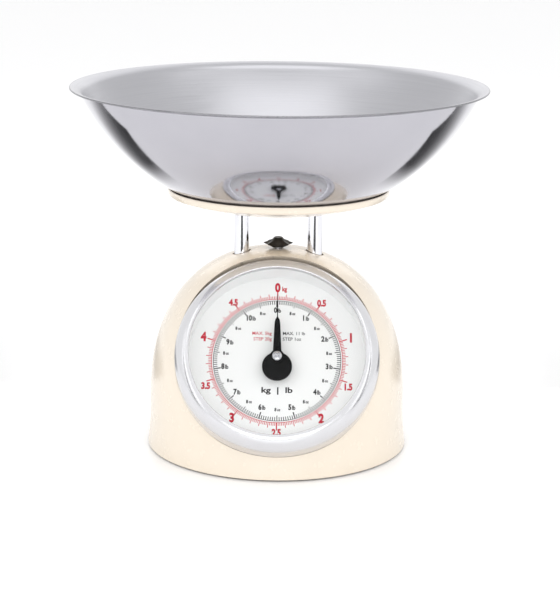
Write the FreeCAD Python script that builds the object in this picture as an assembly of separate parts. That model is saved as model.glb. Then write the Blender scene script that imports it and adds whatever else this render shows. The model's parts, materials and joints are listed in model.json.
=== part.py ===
import FreeCAD, Part
import math
import os

# A free-standing mechanical kitchen scale: domed housing, tilted dial, sprung platform and loose bowl.
# Millimetres. +Z is up, the front faces -Y, and the origin is on the table under the centre of the dome.

V = FreeCAD.Vector
X_AXIS = V(1, 0, 0)
Z_AXIS = V(0, 0, 1)

# --- fits -----------------------------------------------------------------
running = 0.05          # radial clearance of a shaft in its bush
press = 0.02            # radial gap between a screw or a pressed piece and its hole
slot_gap = 0.12         # gap between a pin and the sides of its slot
seat_gap = 0.3          # gap between pieces that lie close but don't touch
moving_gap = 0.5        # gap beside a piece that moves past

# --- housing --------------------------------------------------------------
housing_radius = 78.3
housing_flare = 1.9     # how far the bottom edge stands out
flare_height = 24.0
foot_height = 2.0       # rubber under the base plate
housing_bottom = 1.0
shoulder_z = 30.8       # where the dome starts to close
apex_z = 122.5
dome_power = 2.26       # superellipse exponent of the dome
housing_wall = 1.6

# --- dial -----------------------------------------------------------------
lean_deg = 36.0         # the dial leans back by this much
dial_setback = 37.3     # the dial plate's centre, behind the front of the housing
pinion_z = 33.11        # where the pointer's shaft crosses the centre of the housing
window_radius = 52.2    # inner edge of the bezel's lip
bezel_width = 8.6       # from the lip's inner edge to the bezel's side
bezel_shoulder = 7.0    # where the bezel's side turns into its rounded face
bezel_front = 19.0      # front of the lip, ahead of the dial plate
lip_thickness = 1.3
lens_thickness = 2.0
lens_fit = 0.15         # gap round the lens
seal_thickness = 0.5
seal_inset = 0.4        # the seal's inner edge stays this far under the lip
lens_margin = 2.8       # how far the lens reaches under the lip
spacer_wall = 2.0
dial_plate_thickness = 0.8
plate_margin = 1.3      # how far the dial plate stays inside the bezel's edge
plate_hole_gap = 1.5    # round the pointer's shaft
collar_wall = 1.4
flange_thickness = 1.5
flange_width = 7.0
bezel_screw_count = 4
bezel_screw_depth = 5.0
bezel_screw_inset = 0.95    # metal between the lens and a bezel screw

# --- platform and bowl ----------------------------------------------------
platform_rise = 27.0    # the platform's underside, above the top of the dome
platform_thickness = 3.5
platform_side = 7.5     # the foot of the rim's straight side, above the underside
platform_rim = 11.1     # the top of the rim, above the underside
platform_rim_width = 1.23
platform_bottom_radius = 42.0
platform_chamfer = 0.4
platform_draft = 0.3    # how far the foot of the straight side stands in
platform_bend = 1.6     # how far the bend under it stands in
bowl_arc_radius = 133.5
bowl_arc_rise = 123.2   # centre of the bowl's arc, above its flat base
bowl_arc_offset = -1.4  # centre of the bowl's arc, off the axis
bowl_wall = 0.9
bowl_wall_height = 66.3     # to where the lip turns out
bowl_lip_width = 5.63
bowl_lip_rise = 2.4
bowl_lip_thickness = 1.1

# --- posts and carrier ----------------------------------------------------
post_radius = 4.6
post_offset = 22.2      # each post stands this far to the side of the centre
post_hole_gap = 1.0     # round each post, in the housing
post_stud_radius = 2.0
post_bore_depth = 12.0
nut_height = 3.2
nut_radius = 3.9
stud_end = 1.0          # thread showing below the nut
collar_width = 2.0
collar_height = 2.2
yoke_thickness = 2.0
yoke_depth = 12.0
yoke_margin = 1.5       # yoke past the side of each post
yoke_rise = 8.0         # the yoke's top, above the upper lever's pins
leg_thickness = 1.5
leg_offset = 12.75      # middle of each leg, from the centre
leg_width = 8.0
leg_end = 4.5           # leg below the lower lever's pins
travel = 15.5           # platform travel at full load, for one turn of the pointer

# --- rack and pinion ------------------------------------------------------
tooth_count = 10
pressure_angle_deg = 25.0
backlash = 0.08
rack_addendum = 0.8     # in modules, as are the next two
pinion_addendum = 1.0
dedendum = 1.1
root_relief = 0.05
rack_back = 7.0         # back face of the rack, from the pinion's axis
rack_depth = 6.0
rack_below = 6.1        # rack below the pinion's axis at rest
rack_spare = 4.4        # teeth left over at full load
rack_screw_bore = 6.0
guide_gap = 0.2
guide_length = 8.0
guide_low = 4.0         # the guide and its arm, below the pinion's axis
guide_high = 3.0        # and above it
pinion_face = 5.0
shaft_radius = 1.5
bush_wall = 1.8
bush_overhang = 1.0     # front bush past each side of the bracket
rear_bush_length = 6.0
shaft_end = 1.5         # shaft past the rear bush

# --- frame and base -------------------------------------------------------
base_thickness = 1.5
base_gap = 0.4
boss_radius = 4.0
boss_height = 14.0
boss_floor = 3.0        # solid metal above a boss's hole
boss_inset = 5.0        # boss centre from the housing's outside
foot_radius = 8.0
foot_inset = 18.0
foot_plug_radius = 2.5
foot_barb = 0.8
foot_barb_height = 2.0
sheet = 1.5             # pressed steel
cheek_gap = 3.0         # frame's cheek past the yoke's end
bridge_drop = 18.5      # the bridge's underside, below the top of the dome
frame_gap = 0.9         # between the frame and the collar round the bezel
bridge_front = -6.0
bridge_back = 12.0
frame_front = -8.0
frame_back = 38.0
frame_back_top_z = 72.0
arm_reach = 8.0         # the dial bracket lies this far behind the dial plate
arm_half_height = 22.0
bracket_half_height = 9.0
bracket_ear = 9.0       # ears reach this far back
bracket_screw_up = 5.0
bracket_screw_back = 5.0
frame_flange = 9.0
frame_flange_y = 24.0   # the flange's middle
frame_flange_length = 24.0
frame_screw_shift = 8.0
bearing_y = 12.0
bearing_half_width = 10.3
bearing_rise = 8.0      # the bearing wall, above the shaft
bearing_foot = 9.0
bearing_screw_offset = 6.0
guide_front = -4.0
stop_radius = 4.0
stop_height = 3.5

# --- levers ---------------------------------------------------------------
lever_pivot_y = 34.0
lever_thickness = 1.2
lever_half_height = 3.5
lever_tail = 3.6        # past each pin
lever_nose = 0.6        # and a little more past the slot
lever_pin_spacing = 24.5
pin_radius = 1.25
pin_fit = 0.01
pin_head_width = 0.8
pin_head_thickness = 0.7
pin_end = 0.6           # pin past the lever
frame_pin_end = 1.2     # pin past the cheek
lever_web_depth = 8.0
lever_web_half = 0.6
lever_web_gap = 1.5     # between the web and the tail

# --- springs and zero adjustment ------------------------------------------
spring_offset = 9.0
spring_length = 35.0    # from the yoke to the hanger, at rest
spring_radius = 3.2
spring_wire = 0.8
spring_eye = 2.2        # from the coils to the hole that the eye hooks into
spring_eye_gap = 0.1
spring_hole_radius = 1.0
hanger_thickness = 3.0
hanger_depth = 8.0
hanger_end = 3.0        # hanger past the spring
hanger_hub_radius = 4.0
hanger_hub_drop = 3.0
zero_screw_radius = 2.0
zero_screw_end = 9.0    # screw below the hanger
zero_collar_radius = 4.0
zero_collar_height = 1.5
stem_gap = 1.0          # round the screw, in the housing
knob_rise = 1.1         # the knob's underside, above the top of the dome
knob_height = 5.6
knob_cap = 2.0          # solid top over the screw's end
knob_radius = 9.0
knob_valley_radius = 7.4
knob_lobes = 8
knob_plateau_radius = 2.8
knob_foot_radius = 5.4
knob_rim_low = 1.7
knob_rim_thickness = 0.8
knob_waist_radius = 5.0

# --- pointer --------------------------------------------------------------
pointer_disc_radius = 8.9
pointer_disc_drop = 5.8
pointer_inset = 12.2    # the needle's tip, inside the bezel's lip
pointer_neck_length = 25.4
pointer_tip_length = 3.9
neck_base_half = 2.7
neck_top_half = 1.7
needle_half = 0.4
needle_thickness = 0.8
pointer_out = 4.6       # underside of the disc above the dial plate
pointer_thickness = 1.4
hub_radius = 4.2
hub_bottom = 2.2
hub_top = 7.4
pointer_screw_head = 2.95
pointer_screw_height = 1.5
pointer_screw_radius = 0.9
pointer_screw_length = 3.8
recess_half = 0.4

# --- screws: thread radius, head radius, head height ------------------------
bezel_screw = (1.25, 2.1, 1.4)
bracket_screw = (1.25, 2.4, 1.2)
frame_screw = (1.5, 2.8, 1.6)
bearing_screw = (1.5, 2.5, 1.6)
base_screw = (1.25, 2.3, 0.9)
platform_screw = (1.7, 3.1, 1.6)
rack_bolt = (1.25, 2.4, 1.3)
clear_hole = 0.2        # extra radius of a hole that a screw only passes through
counterbore_gap = 0.3
counterbore_depth = 1.9
base_screw_bite = 9.0
platform_screw_bite = 8.0
rack_bolt_bite = 5.0
cut = 1.0               # how far a cutting shape stands past what it cuts

os.makedirs("parts", exist_ok=True)

lean = math.radians(lean_deg)
dial_y = dial_setback - housing_radius
dial_z = pinion_z - dial_y * math.tan(lean)
dial_centre = V(0, dial_y, dial_z)
normal = V(0, -math.cos(lean), math.sin(lean))
up_dial = V(0, math.sin(lean), math.cos(lean))
dial_turn = FreeCAD.Rotation(X_AXIS, 90 - lean_deg)
pinion_out = dial_y / math.cos(lean)        # the pinion's middle, behind the dial plate
bearing_out = (dial_y - bearing_y - sheet / 2) / math.cos(lean)

base_top = foot_height + base_thickness
base_radius = housing_radius - housing_wall - base_gap
boss_circle = housing_radius - boss_inset
foot_circle = housing_radius - foot_inset

bezel_radius = window_radius + bezel_width
lip_underside = bezel_front - lip_thickness
lens_radius = window_radius + lens_margin
lens_front = lip_underside - seal_thickness
lens_back = lens_front - lens_thickness
collar_inner = bezel_radius + seat_gap
collar_outer = collar_inner + collar_wall
plate_radius = bezel_radius - plate_margin
flange_back = -dial_plate_thickness - flange_thickness
bezel_screw_circle = lens_radius + bezel_screw[0] + bezel_screw_inset
pointer_length = window_radius - pointer_inset

stop_top = base_top + stop_height
leg_bottom_z = stop_top + moving_gap + travel
lower_lever_z = leg_bottom_z + leg_end      # the carrier's pins at rest
upper_lever_z = lower_lever_z + lever_pin_spacing
yoke_top = upper_lever_z + yoke_rise
yoke_bottom = yoke_top - yoke_thickness
yoke_half = post_offset + post_radius + yoke_margin
cheek_inner = yoke_half + cheek_gap
cheek_outer = cheek_inner + sheet
bracket_back = -arm_reach
bracket_front = bracket_back + sheet
lever_inner = leg_offset + leg_thickness / 2 + seat_gap
lever_outer = lever_inner + lever_thickness

pitch_radius = travel * math.cos(lean) / (2 * math.pi)
tooth_module = 2 * pitch_radius / tooth_count
rack_bottom_z = pinion_z - rack_below
rack_teeth_top_z = pinion_z + travel + rack_spare
rack_bolt_x = (rack_back + pitch_radius) / 2 + guide_gap
bush_radius = shaft_radius + bush_wall

bridge_z = apex_z - bridge_drop
bridge_top = bridge_z + sheet
hanger_z = yoke_top + spring_length
hanger_top = hanger_z + hanger_thickness
knob_bottom_z = apex_z + knob_rise
knob_top_z = knob_bottom_z + knob_height

platform_bottom_z = apex_z + platform_rise
platform_floor_z = platform_bottom_z + platform_thickness
platform_side_z = platform_bottom_z + platform_side
platform_rim_z = platform_bottom_z + platform_rim
bowl_arc_z = platform_floor_z + bowl_arc_rise
bowl_wall_top_z = platform_floor_z + bowl_wall_height
bowl_rim_z = bowl_wall_top_z + bowl_lip_rise
screw_seat_z = platform_floor_z - counterbore_depth


# --- helpers --------------------------------------------------------------
def save(shape, name):
    shape.exportStep(f"parts/{name}.step")


def block(x0, x1, y0, y1, z0, z1):
    return Part.makeBox(x1 - x0, y1 - y0, z1 - z0, V(x0, y0, z0))


def rod(radius, base, length, axis=Z_AXIS):
    return Part.makeCylinder(radius, length, base, axis)


def tube(outer, inner, base, length, axis=Z_AXIS):
    return rod(outer, base, length, axis).cut(rod(inner, base, length, axis))


def polygon(points):
    return Part.makePolygon(points + points[:1])


def lathe(wire):
    """Turn a closed wire in the XZ plane about the Z axis."""
    return Part.Face(wire).revolve(V(0, 0, 0), Z_AXIS, 360)


def line(a, b):
    return Part.LineSegment(V(a[0], 0, a[1]), V(b[0], 0, b[1])).toShape()


def arc(a, mid, b):
    return Part.Arc(V(a[0], 0, a[1]), V(mid[0], 0, mid[1]), V(b[0], 0, b[1])).toShape()


def plate_x(points, x0, x1):
    """A plate from x0 to x1 whose outline is in the YZ plane."""
    face = Part.Face(polygon([V(x0, y, z) for y, z in points]))
    return face.extrude(V(x1 - x0, 0, 0))


def on_dial(shape):
    """Move a shape from the dial's own frame (Z out of the dial, Y up the dial) to its place."""
    placed = shape.copy()
    placed.Placement = FreeCAD.Placement(dial_centre, dial_turn).multiply(shape.Placement)
    return placed


def dial_point(x, up, out):
    return dial_centre + X_AXIS * x + up_dial * up + normal * out


def join(shapes):
    whole = shapes[0]
    for shape in shapes[1:]:
        whole = whole.fuse(shape)
    return whole.removeSplitter()


def group(shapes):
    return Part.makeCompound(shapes)


def around(count, start_deg, radius):
    for i in range(count):
        angle = math.radians(start_deg + 360.0 * i / count)
        yield radius * math.cos(angle), radius * math.sin(angle)


def pan_screw(size, length):
    """A slotted screw along Z with its head's underside at z = 0 and its shank below."""
    radius, head_radius, head_height = size
    head = rod(head_radius, V(0, 0, 0), head_height)
    slot_half = radius * 0.3
    slot_deep = head_height * 0.45
    slot = block(-head_radius, head_radius, -slot_half, slot_half, head_height - slot_deep, head_height)
    shank = rod(radius - press, V(0, 0, -length), length)
    return join([head.cut(slot), shank])


def moved(shape, place, rotation=FreeCAD.Rotation()):
    copy = shape.copy()
    copy.Placement = FreeCAD.Placement(place, rotation)
    return copy


# --- housing --------------------------------------------------------------
def dome_edge(radius, top):
    """The dome's outline, from its shoulder to its apex: a superellipse."""
    steps = 12
    points = []
    for i in range(steps + 1):
        angle = math.pi / 2 * i / steps
        r = radius * max(math.cos(angle), 0.0) ** (2 / dome_power)
        z = shoulder_z + (top - shoulder_z) * math.sin(angle) ** (2 / dome_power)
        points.append(V(r if i < steps else 0, 0, z))
    curve = Part.BSplineCurve()
    curve.interpolate(Points=points, InitialTangent=V(0, 0, 1), FinalTangent=V(-1, 0, 0))
    return curve.toShape()


def dome_solid(inset):
    """The housing's outside, drawn in by inset, from its bottom edge to its apex."""
    radius = housing_radius - inset
    top = apex_z - inset
    low = radius + housing_flare
    middle = radius + housing_flare * 0.45
    edges = [
        line((0, housing_bottom), (low, housing_bottom)),
        arc((low, housing_bottom), (middle, flare_height * 0.4), (radius, flare_height)),
        line((radius, flare_height), (radius, shoulder_z)),
        dome_edge(radius, top),
        line((0, top), (0, housing_bottom)),
    ]
    return lathe(Part.Wire(edges))


def top_holes():
    """The holes in the top of the dome: one for each post and one for the zero screw."""
    radius = post_radius + post_hole_gap
    top = apex_z + cut
    holes = [rod(zero_screw_radius + stem_gap, V(0, 0, bridge_top), top - bridge_top)]
    for side in (-1, 1):
        holes.append(rod(radius, V(side * post_offset, 0, yoke_top), top - yoke_top))
    return holes


def housing():
    outside = dome_solid(0)
    inside = dome_solid(housing_wall)
    depth = 4 * bezel_front
    collar = on_dial(rod(collar_outer, V(0, 0, flange_back), depth)).common(outside)
    bosses = []
    holes = []
    for x, y in around(4, 45, boss_circle):
        bosses.append(rod(boss_radius, V(x, y, base_top), boss_height).common(outside))
        holes.append(rod(base_screw[0], V(x, y, base_top), boss_height - boss_floor))
    shell = outside.cut(inside).fuse([collar] + bosses)
    shell = shell.cut(on_dial(rod(collar_inner, V(0, 0, -dial_plate_thickness), depth)))
    shell = shell.cut(on_dial(rod(collar_inner - flange_width, V(0, 0, flange_back - cut), depth)))
    shell = shell.cut(holes)
    shell = shell.cut(top_holes())
    shell = shell.cut(bezel_screw_holes(bezel_screw[0] + clear_hole))
    return shell.removeSplitter()


def bezel_screw_holes(radius):
    holes = []
    start = flange_back - cut
    for x, y in around(bezel_screw_count, 45, bezel_screw_circle):
        holes.append(on_dial(rod(radius, V(x, y, start), bezel_screw_depth - start)))
    return holes


# --- dial group -----------------------------------------------------------
def bezel():
    side = (bezel_radius, bezel_shoulder)
    lip = (window_radius + lip_thickness / 2, bezel_front)
    half = math.sqrt(0.5)
    middle = (
        lip[0] + (side[0] - lip[0]) * half,
        side[1] + (lip[1] - side[1]) * half,
    )
    nose = (window_radius, bezel_front - lip_thickness / 2)
    nose_mid = (
        window_radius + lip_thickness / 2 * (1 - half),
        nose[1] + lip_thickness / 2 * half,
    )
    bore = lens_radius + lens_fit
    edges = [
        line((bore, 0), (bezel_radius, 0)),
        line((bezel_radius, 0), side),
        arc(side, middle, lip),
        arc(lip, nose_mid, nose),
        line(nose, (window_radius, lip_underside)),
        line((window_radius, lip_underside), (bore, lip_underside)),
        line((bore, lip_underside), (bore, 0)),
    ]
    ring = on_dial(lathe(Part.Wire(edges)))
    return ring.cut(bezel_screw_holes(bezel_screw[0]))


def bezel_screws():
    turned = FreeCAD.Rotation(X_AXIS, 180)
    screw = pan_screw(bezel_screw, bezel_screw_depth - flange_back - cut)
    screws = []
    for x, y in around(bezel_screw_count, 45, bezel_screw_circle):
        screws.append(on_dial(moved(screw, V(x, y, flange_back), turned)))
    return group(screws)


def lens_seal():
    return on_dial(tube(lens_radius, window_radius + seal_inset, V(0, 0, lens_front), seal_thickness))


def lens():
    return on_dial(rod(lens_radius, V(0, 0, lens_back), lens_thickness))


def dial_spacer():
    return on_dial(tube(lens_radius, lens_radius - spacer_wall, V(0, 0, 0), lens_back))


def dial_plate():
    disc = on_dial(rod(plate_radius, V(0, 0, -dial_plate_thickness), dial_plate_thickness))
    hole = rod(shaft_radius + plate_hole_gap, V(0, 0, -dial_plate_thickness - cut), 3 * cut)
    disc = disc.cut(on_dial(hole))
    return disc.cut(bezel_screw_holes(bezel_screw[0] + clear_hole))


def dial_bracket():
    half = bracket_half_height
    solids = [block(-cheek_outer, cheek_outer, -half, half, bracket_back, bracket_front)]
    for side in (-1, 1):
        x0 = min(side * cheek_outer, side * (cheek_outer + sheet))
        solids.append(block(x0, x0 + sheet, -half, half, bracket_back - bracket_ear, bracket_front))
    bush_hole = rod(bush_radius, V(0, 0, bracket_back - cut), sheet + 2 * cut)
    plate = on_dial(join(solids).cut(bush_hole))
    return plate.cut(bracket_screw_holes())


def bracket_screw_places():
    for side in (-1, 1):
        for up in (-bracket_screw_up, bracket_screw_up):
            yield side, dial_point(0, up, bracket_back - bracket_screw_back)


def bracket_screw_holes():
    holes = []
    for side, place in bracket_screw_places():
        start = V(side * (cheek_inner - cut), place.y, place.z)
        holes.append(rod(bracket_screw[0], start, 2 * sheet + 2 * cut, V(side, 0, 0)))
    return holes


def bracket_screws():
    screws = []
    screw = pan_screw(bracket_screw, 2 * sheet + cut)
    for side, place in bracket_screw_places():
        turn = FreeCAD.Rotation(Z_AXIS, V(side, 0, 0))
        screws.append(moved(screw, V(side * (cheek_outer + sheet), place.y, place.z), turn))
    return group(screws)


# --- frame and base -------------------------------------------------------
def cheek_outline():
    front_top = dial_point(0, arm_half_height, bracket_back)
    front_low = dial_point(0, -arm_half_height, bracket_back)
    return [
        (frame_front, base_top),
        (frame_back, base_top),
        (frame_back, frame_back_top_z),
        (bridge_back, bridge_top),
        (bridge_front, bridge_top),
        (front_top.y, front_top.z),
        (front_low.y, front_low.z),
    ]


def lever_pivot_z(pin_z):
    """The fixed pivot is half-way down the carrier pin's travel."""
    return pin_z - travel / 2


def mechanism_frame():
    solids = [block(-cheek_outer, cheek_outer, bridge_front, bridge_back, bridge_z, bridge_top)]
    for side in (-1, 1):
        solids.append(plate_x(cheek_outline(), side * cheek_inner, side * cheek_outer))
        x0 = min(side * cheek_outer, side * (cheek_outer + frame_flange))
        y0 = frame_flange_y - frame_flange_length / 2
        solids.append(block(x0, x0 + frame_flange, y0, y0 + frame_flange_length, base_top, base_top + sheet))
    through = sheet + 2 * cut
    holes = [rod(zero_screw_radius + running, V(0, 0, bridge_z - cut), through)]
    for side in (-1, 1):
        holes.append(rod(post_radius + moving_gap, V(side * post_offset, 0, bridge_z - cut), through))
    for pin_z in (upper_lever_z, lower_lever_z):
        start = V(-cheek_outer - cut, lever_pivot_y, lever_pivot_z(pin_z))
        holes.append(rod(pin_radius, start, 2 * (cheek_outer + cut), X_AXIS))
    for x, y in frame_screw_places():
        holes.append(rod(frame_screw[0], V(x, y, base_top - cut), through))
    clear = on_dial(rod(collar_outer + frame_gap, V(0, 0, flange_back - frame_gap), 2 * bezel_front))
    return join(solids).cut(holes + bracket_screw_holes() + [clear])


def frame_screw_places():
    for side in (-1, 1):
        for shift in (-frame_screw_shift, frame_screw_shift):
            yield side * (cheek_outer + frame_flange / 2), frame_flange_y + shift


def frame_screws():
    screw = pan_screw(frame_screw, sheet + base_thickness)
    return group([moved(screw, V(x, y, base_top + sheet)) for x, y in frame_screw_places()])


def base_plate():
    holes = []
    for x, y in around(4, 45, boss_circle):
        holes.append(rod(base_screw[0] + clear_hole, V(x, y, 0), base_top + cut))
    for x, y in around(4, 0, foot_circle):
        holes.append(rod(foot_plug_radius, V(x, y, 0), base_top + cut))
    for x, y in list(frame_screw_places()) + bearing_screw_places():
        holes.append(rod(frame_screw[0], V(x, y, 0), base_top + cut))
    return rod(base_radius, V(0, 0, foot_height), base_thickness).cut(holes)


def base_screws():
    screws = []
    screw = pan_screw(base_screw, base_thickness + base_screw_bite)
    for x, y in around(4, 45, boss_circle):
        screws.append(moved(screw, V(x, y, foot_height), FreeCAD.Rotation(X_AXIS, 180)))
    return group(screws)


def rubber_feet():
    feet = []
    for x, y in around(4, 0, foot_circle):
        pad = rod(foot_radius, V(x, y, 0), foot_height)
        plug = rod(foot_plug_radius, V(x, y, foot_height), base_thickness)
        wide = foot_plug_radius + foot_barb
        narrow = foot_plug_radius - foot_barb
        barb = Part.makeCone(wide, narrow, foot_barb_height, V(x, y, base_top))
        feet.append(join([pad, plug, barb]))
    return group(feet)


# --- bearing bracket behind the pinion ------------------------------------
def bearing_screw_places():
    y = bearing_y + sheet + bearing_foot / 2
    return [(side * bearing_screw_offset, y) for side in (-1, 1)]


def bearing_bracket():
    back = bearing_y + sheet
    half = bearing_half_width
    top = dial_point(0, 0, bearing_out).z + bearing_rise
    wall = block(-half, half, bearing_y, back, base_top, top)
    foot = block(-half, half, back, back + bearing_foot, base_top, base_top + sheet)
    arm_top = min(top, pinion_z + guide_high)
    arm = block(half - sheet, half, guide_front, bearing_y, pinion_z - guide_low, arm_top)
    holes = [on_dial(rod(bush_radius, V(0, 0, bearing_out - rear_bush_length), 2 * rear_bush_length))]
    for x, y in bearing_screw_places():
        holes.append(rod(bearing_screw[0], V(x, y, 0), base_top + sheet + cut))
    return join([wall, foot, arm]).cut(holes)


def bearing_screws():
    screw = pan_screw(bearing_screw, sheet + base_thickness)
    return group([moved(screw, V(x, y, base_top + sheet)) for x, y in bearing_screw_places()])


def rack_guide():
    """A nylon pad behind the rack."""
    front = rack_back + guide_gap
    back = bearing_half_width - sheet
    low = pinion_z - guide_low
    high = pinion_z + guide_high
    return block(front, back, guide_front, guide_front + guide_length, low, high)


def shaft_bushes():
    inner = shaft_radius + running
    front = tube(bush_radius, inner, V(0, 0, bracket_back - bush_overhang), sheet + 2 * bush_overhang)
    rear = tube(bush_radius, inner, V(0, 0, bearing_out - rear_bush_length / 2), rear_bush_length)
    return group([on_dial(front), on_dial(rear)])


# --- pointer group --------------------------------------------------------
def pinion_outline():
    """One closed outline of involute teeth, in the dial's own plane."""
    alpha = math.radians(pressure_angle_deg)
    circle = pitch_radius * math.cos(alpha)     # the involutes' base circle
    tip_radius = pitch_radius + pinion_addendum * tooth_module
    root_radius = pitch_radius - dedendum * tooth_module
    involute = math.tan(alpha) - alpha
    half_at_pitch = (math.pi * tooth_module / 2 - backlash / 2) / 2 / pitch_radius
    half_at_base = half_at_pitch + involute
    steps = 4
    flank = [(root_radius, half_at_base)]
    for i in range(steps + 1):
        radius = circle + (tip_radius - circle) * i / steps
        roll = math.acos(circle / radius)
        flank.append((radius, half_at_base - (math.tan(roll) - roll)))
    points = []
    for tooth in range(tooth_count):
        middle = 2 * math.pi * tooth / tooth_count
        for radius, half in flank:
            points.append((radius, middle - half))
        for radius, half in reversed(flank):
            points.append((radius, middle + half))
    return [V(r * math.cos(a), r * math.sin(a), 0) for r, a in points]


def pinion_shaft():
    back = bearing_out - rear_bush_length / 2 - shaft_end
    shaft = rod(shaft_radius, V(0, 0, back), hub_top - back)
    thread = rod(pointer_screw_radius, V(0, 0, hub_top - pointer_screw_length), pointer_screw_length + cut)
    teeth = Part.Face(polygon(pinion_outline())).extrude(V(0, 0, pinion_face))
    teeth.translate(V(0, 0, pinion_out - pinion_face / 2))
    return on_dial(join([shaft.cut(thread), teeth]))


def pointer():
    disc = rod(pointer_disc_radius, V(0, -pointer_disc_drop, pointer_out), pointer_thickness)
    shoulder = pointer_neck_length - pointer_tip_length
    neck = [(-neck_base_half, 0), (-neck_top_half, shoulder), (0, pointer_neck_length)]
    neck += [(-x, y) for x, y in reversed(neck[:-1])]
    face = Part.Face(polygon([V(x, y, pointer_out) for x, y in neck]))
    blade = face.extrude(V(0, 0, pointer_thickness))
    needle = block(-needle_half, needle_half, 0, pointer_length, pointer_out, pointer_out + needle_thickness)
    hub = rod(hub_radius, V(0, 0, hub_bottom), hub_top - hub_bottom)
    whole = join([disc, blade, needle, hub])
    return on_dial(whole.cut(rod(shaft_radius, V(0, 0, 0), hub_top + cut)))


def pointer_screw():
    top = hub_top + pointer_screw_height
    head = rod(pointer_screw_head, V(0, 0, hub_top), pointer_screw_height)
    arm = pointer_screw_head * 0.62
    floor = top - pointer_screw_height / 2
    across = block(-arm, arm, -recess_half, recess_half, floor, top)
    along = block(-recess_half, recess_half, -arm, arm, floor, top)
    shank = rod(pointer_screw_radius - press, V(0, 0, hub_top - pointer_screw_length), pointer_screw_length)
    return on_dial(join([head.cut([across, along]), shank]))


# --- rack -----------------------------------------------------------------
def rack_outline():
    """Straight teeth facing the pinion, in the dial's own plane, one rack pitch per pinion tooth."""
    slope = math.tan(math.radians(pressure_angle_deg))
    pitch = math.pi * tooth_module
    tip = pitch_radius - rack_addendum * tooth_module
    root = pitch_radius + dedendum * tooth_module + root_relief
    half = (pitch / 2 - backlash / 2) / 2
    up_span = (rack_teeth_top_z - pinion_z) * math.cos(lean)
    down_span = (pinion_z - rack_bottom_z) * math.cos(lean)
    spare = 4       # whole teeth past each end, trimmed off later
    first = -int(down_span / pitch) - spare
    last = int(up_span / pitch) + spare
    low = (first - 1) * pitch
    high = (yoke_bottom - pinion_z) + spare * pitch
    points = [V(rack_back, low, 0), V(root, low, 0)]
    for i in range(first, last):
        middle = (i + 0.5) * pitch
        points.append(V(root, middle - half - (root - pitch_radius) * slope, 0))
        points.append(V(tip, middle - half + (pitch_radius - tip) * slope, 0))
        points.append(V(tip, middle + half - (pitch_radius - tip) * slope, 0))
        points.append(V(root, middle + half + (root - pitch_radius) * slope, 0))
    points += [V(root, high, 0), V(rack_back, high, 0)]
    return points


def rack():
    """The slanted teeth are drawn along the pinion's axis, then trimmed to an upright bar."""
    long = 2 * housing_radius
    slab = Part.Face(polygon(rack_outline())).extrude(V(0, 0, long))
    slab.translate(V(0, 0, pinion_out - long / 2))
    bar = block(0, rack_back, -rack_depth / 2, rack_depth / 2, rack_bottom_z, yoke_bottom)
    bore = rod(rack_bolt[0], V(rack_bolt_x, 0, yoke_bottom - rack_screw_bore), rack_screw_bore + cut)
    return on_dial(slab).common(bar).cut(bore)


def rack_screw():
    return moved(pan_screw(rack_bolt, yoke_thickness + rack_bolt_bite), V(rack_bolt_x, 0, yoke_top))


# --- carrier --------------------------------------------------------------
def carrier_frame():
    solids = [block(-yoke_half, yoke_half, -yoke_depth / 2, yoke_depth / 2, yoke_bottom, yoke_top)]
    for side in (-1, 1):
        x0 = side * leg_offset - leg_thickness / 2
        solids.append(block(x0, x0 + leg_thickness, -leg_width / 2, leg_width / 2, leg_bottom_z, yoke_bottom))
    below = yoke_bottom - cut
    through = yoke_thickness + 2 * cut
    holes = [rod(rack_bolt[0], V(rack_bolt_x, 0, below), through)]
    for side in (-1, 1):
        holes.append(rod(post_stud_radius, V(side * post_offset, 0, below), through))
        holes.append(rod(spring_hole_radius, V(side * spring_offset, 0, below), through))
        start = side * (leg_offset - leg_thickness)
        for pin_z in (upper_lever_z, lower_lever_z):
            holes.append(rod(pin_radius, V(start, 0, pin_z), 2 * leg_thickness, V(side, 0, 0)))
    return join(solids).cut(holes)


def post(side):
    x = side * post_offset
    body = rod(post_radius, V(x, 0, yoke_top), platform_bottom_z - yoke_top)
    below = nut_height + stud_end
    stud = rod(post_stud_radius, V(x, 0, yoke_bottom - below), yoke_thickness + below)
    bore = rod(platform_screw[0], V(x, 0, platform_bottom_z - post_bore_depth), post_bore_depth + cut)
    return join([body, stud]).cut(bore)


def post_nuts():
    nuts = []
    low = yoke_bottom - nut_height
    for side in (-1, 1):
        centre = side * post_offset
        corners = [V(centre + x, y, low) for x, y in around(6, 30, nut_radius)]
        nut = Part.Face(polygon(corners)).extrude(V(0, 0, nut_height))
        thread = rod(post_stud_radius + press, V(centre, 0, low - cut), nut_height + 2 * cut)
        nuts.append(nut.cut(thread))
    return group(nuts)


def post_collars():
    low = platform_bottom_z - collar_height
    rings = []
    for side in (-1, 1):
        place = V(side * post_offset, 0, low)
        rings.append(tube(post_radius + collar_width, post_radius + press, place, collar_height))
    return group(rings)


def bowl_r(z, offset=0.0):
    """Radius of the bowl's outside at height z, moved out by offset."""
    return bowl_arc_offset + math.sqrt((bowl_arc_radius + offset) ** 2 - (bowl_arc_z - z) ** 2)


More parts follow.
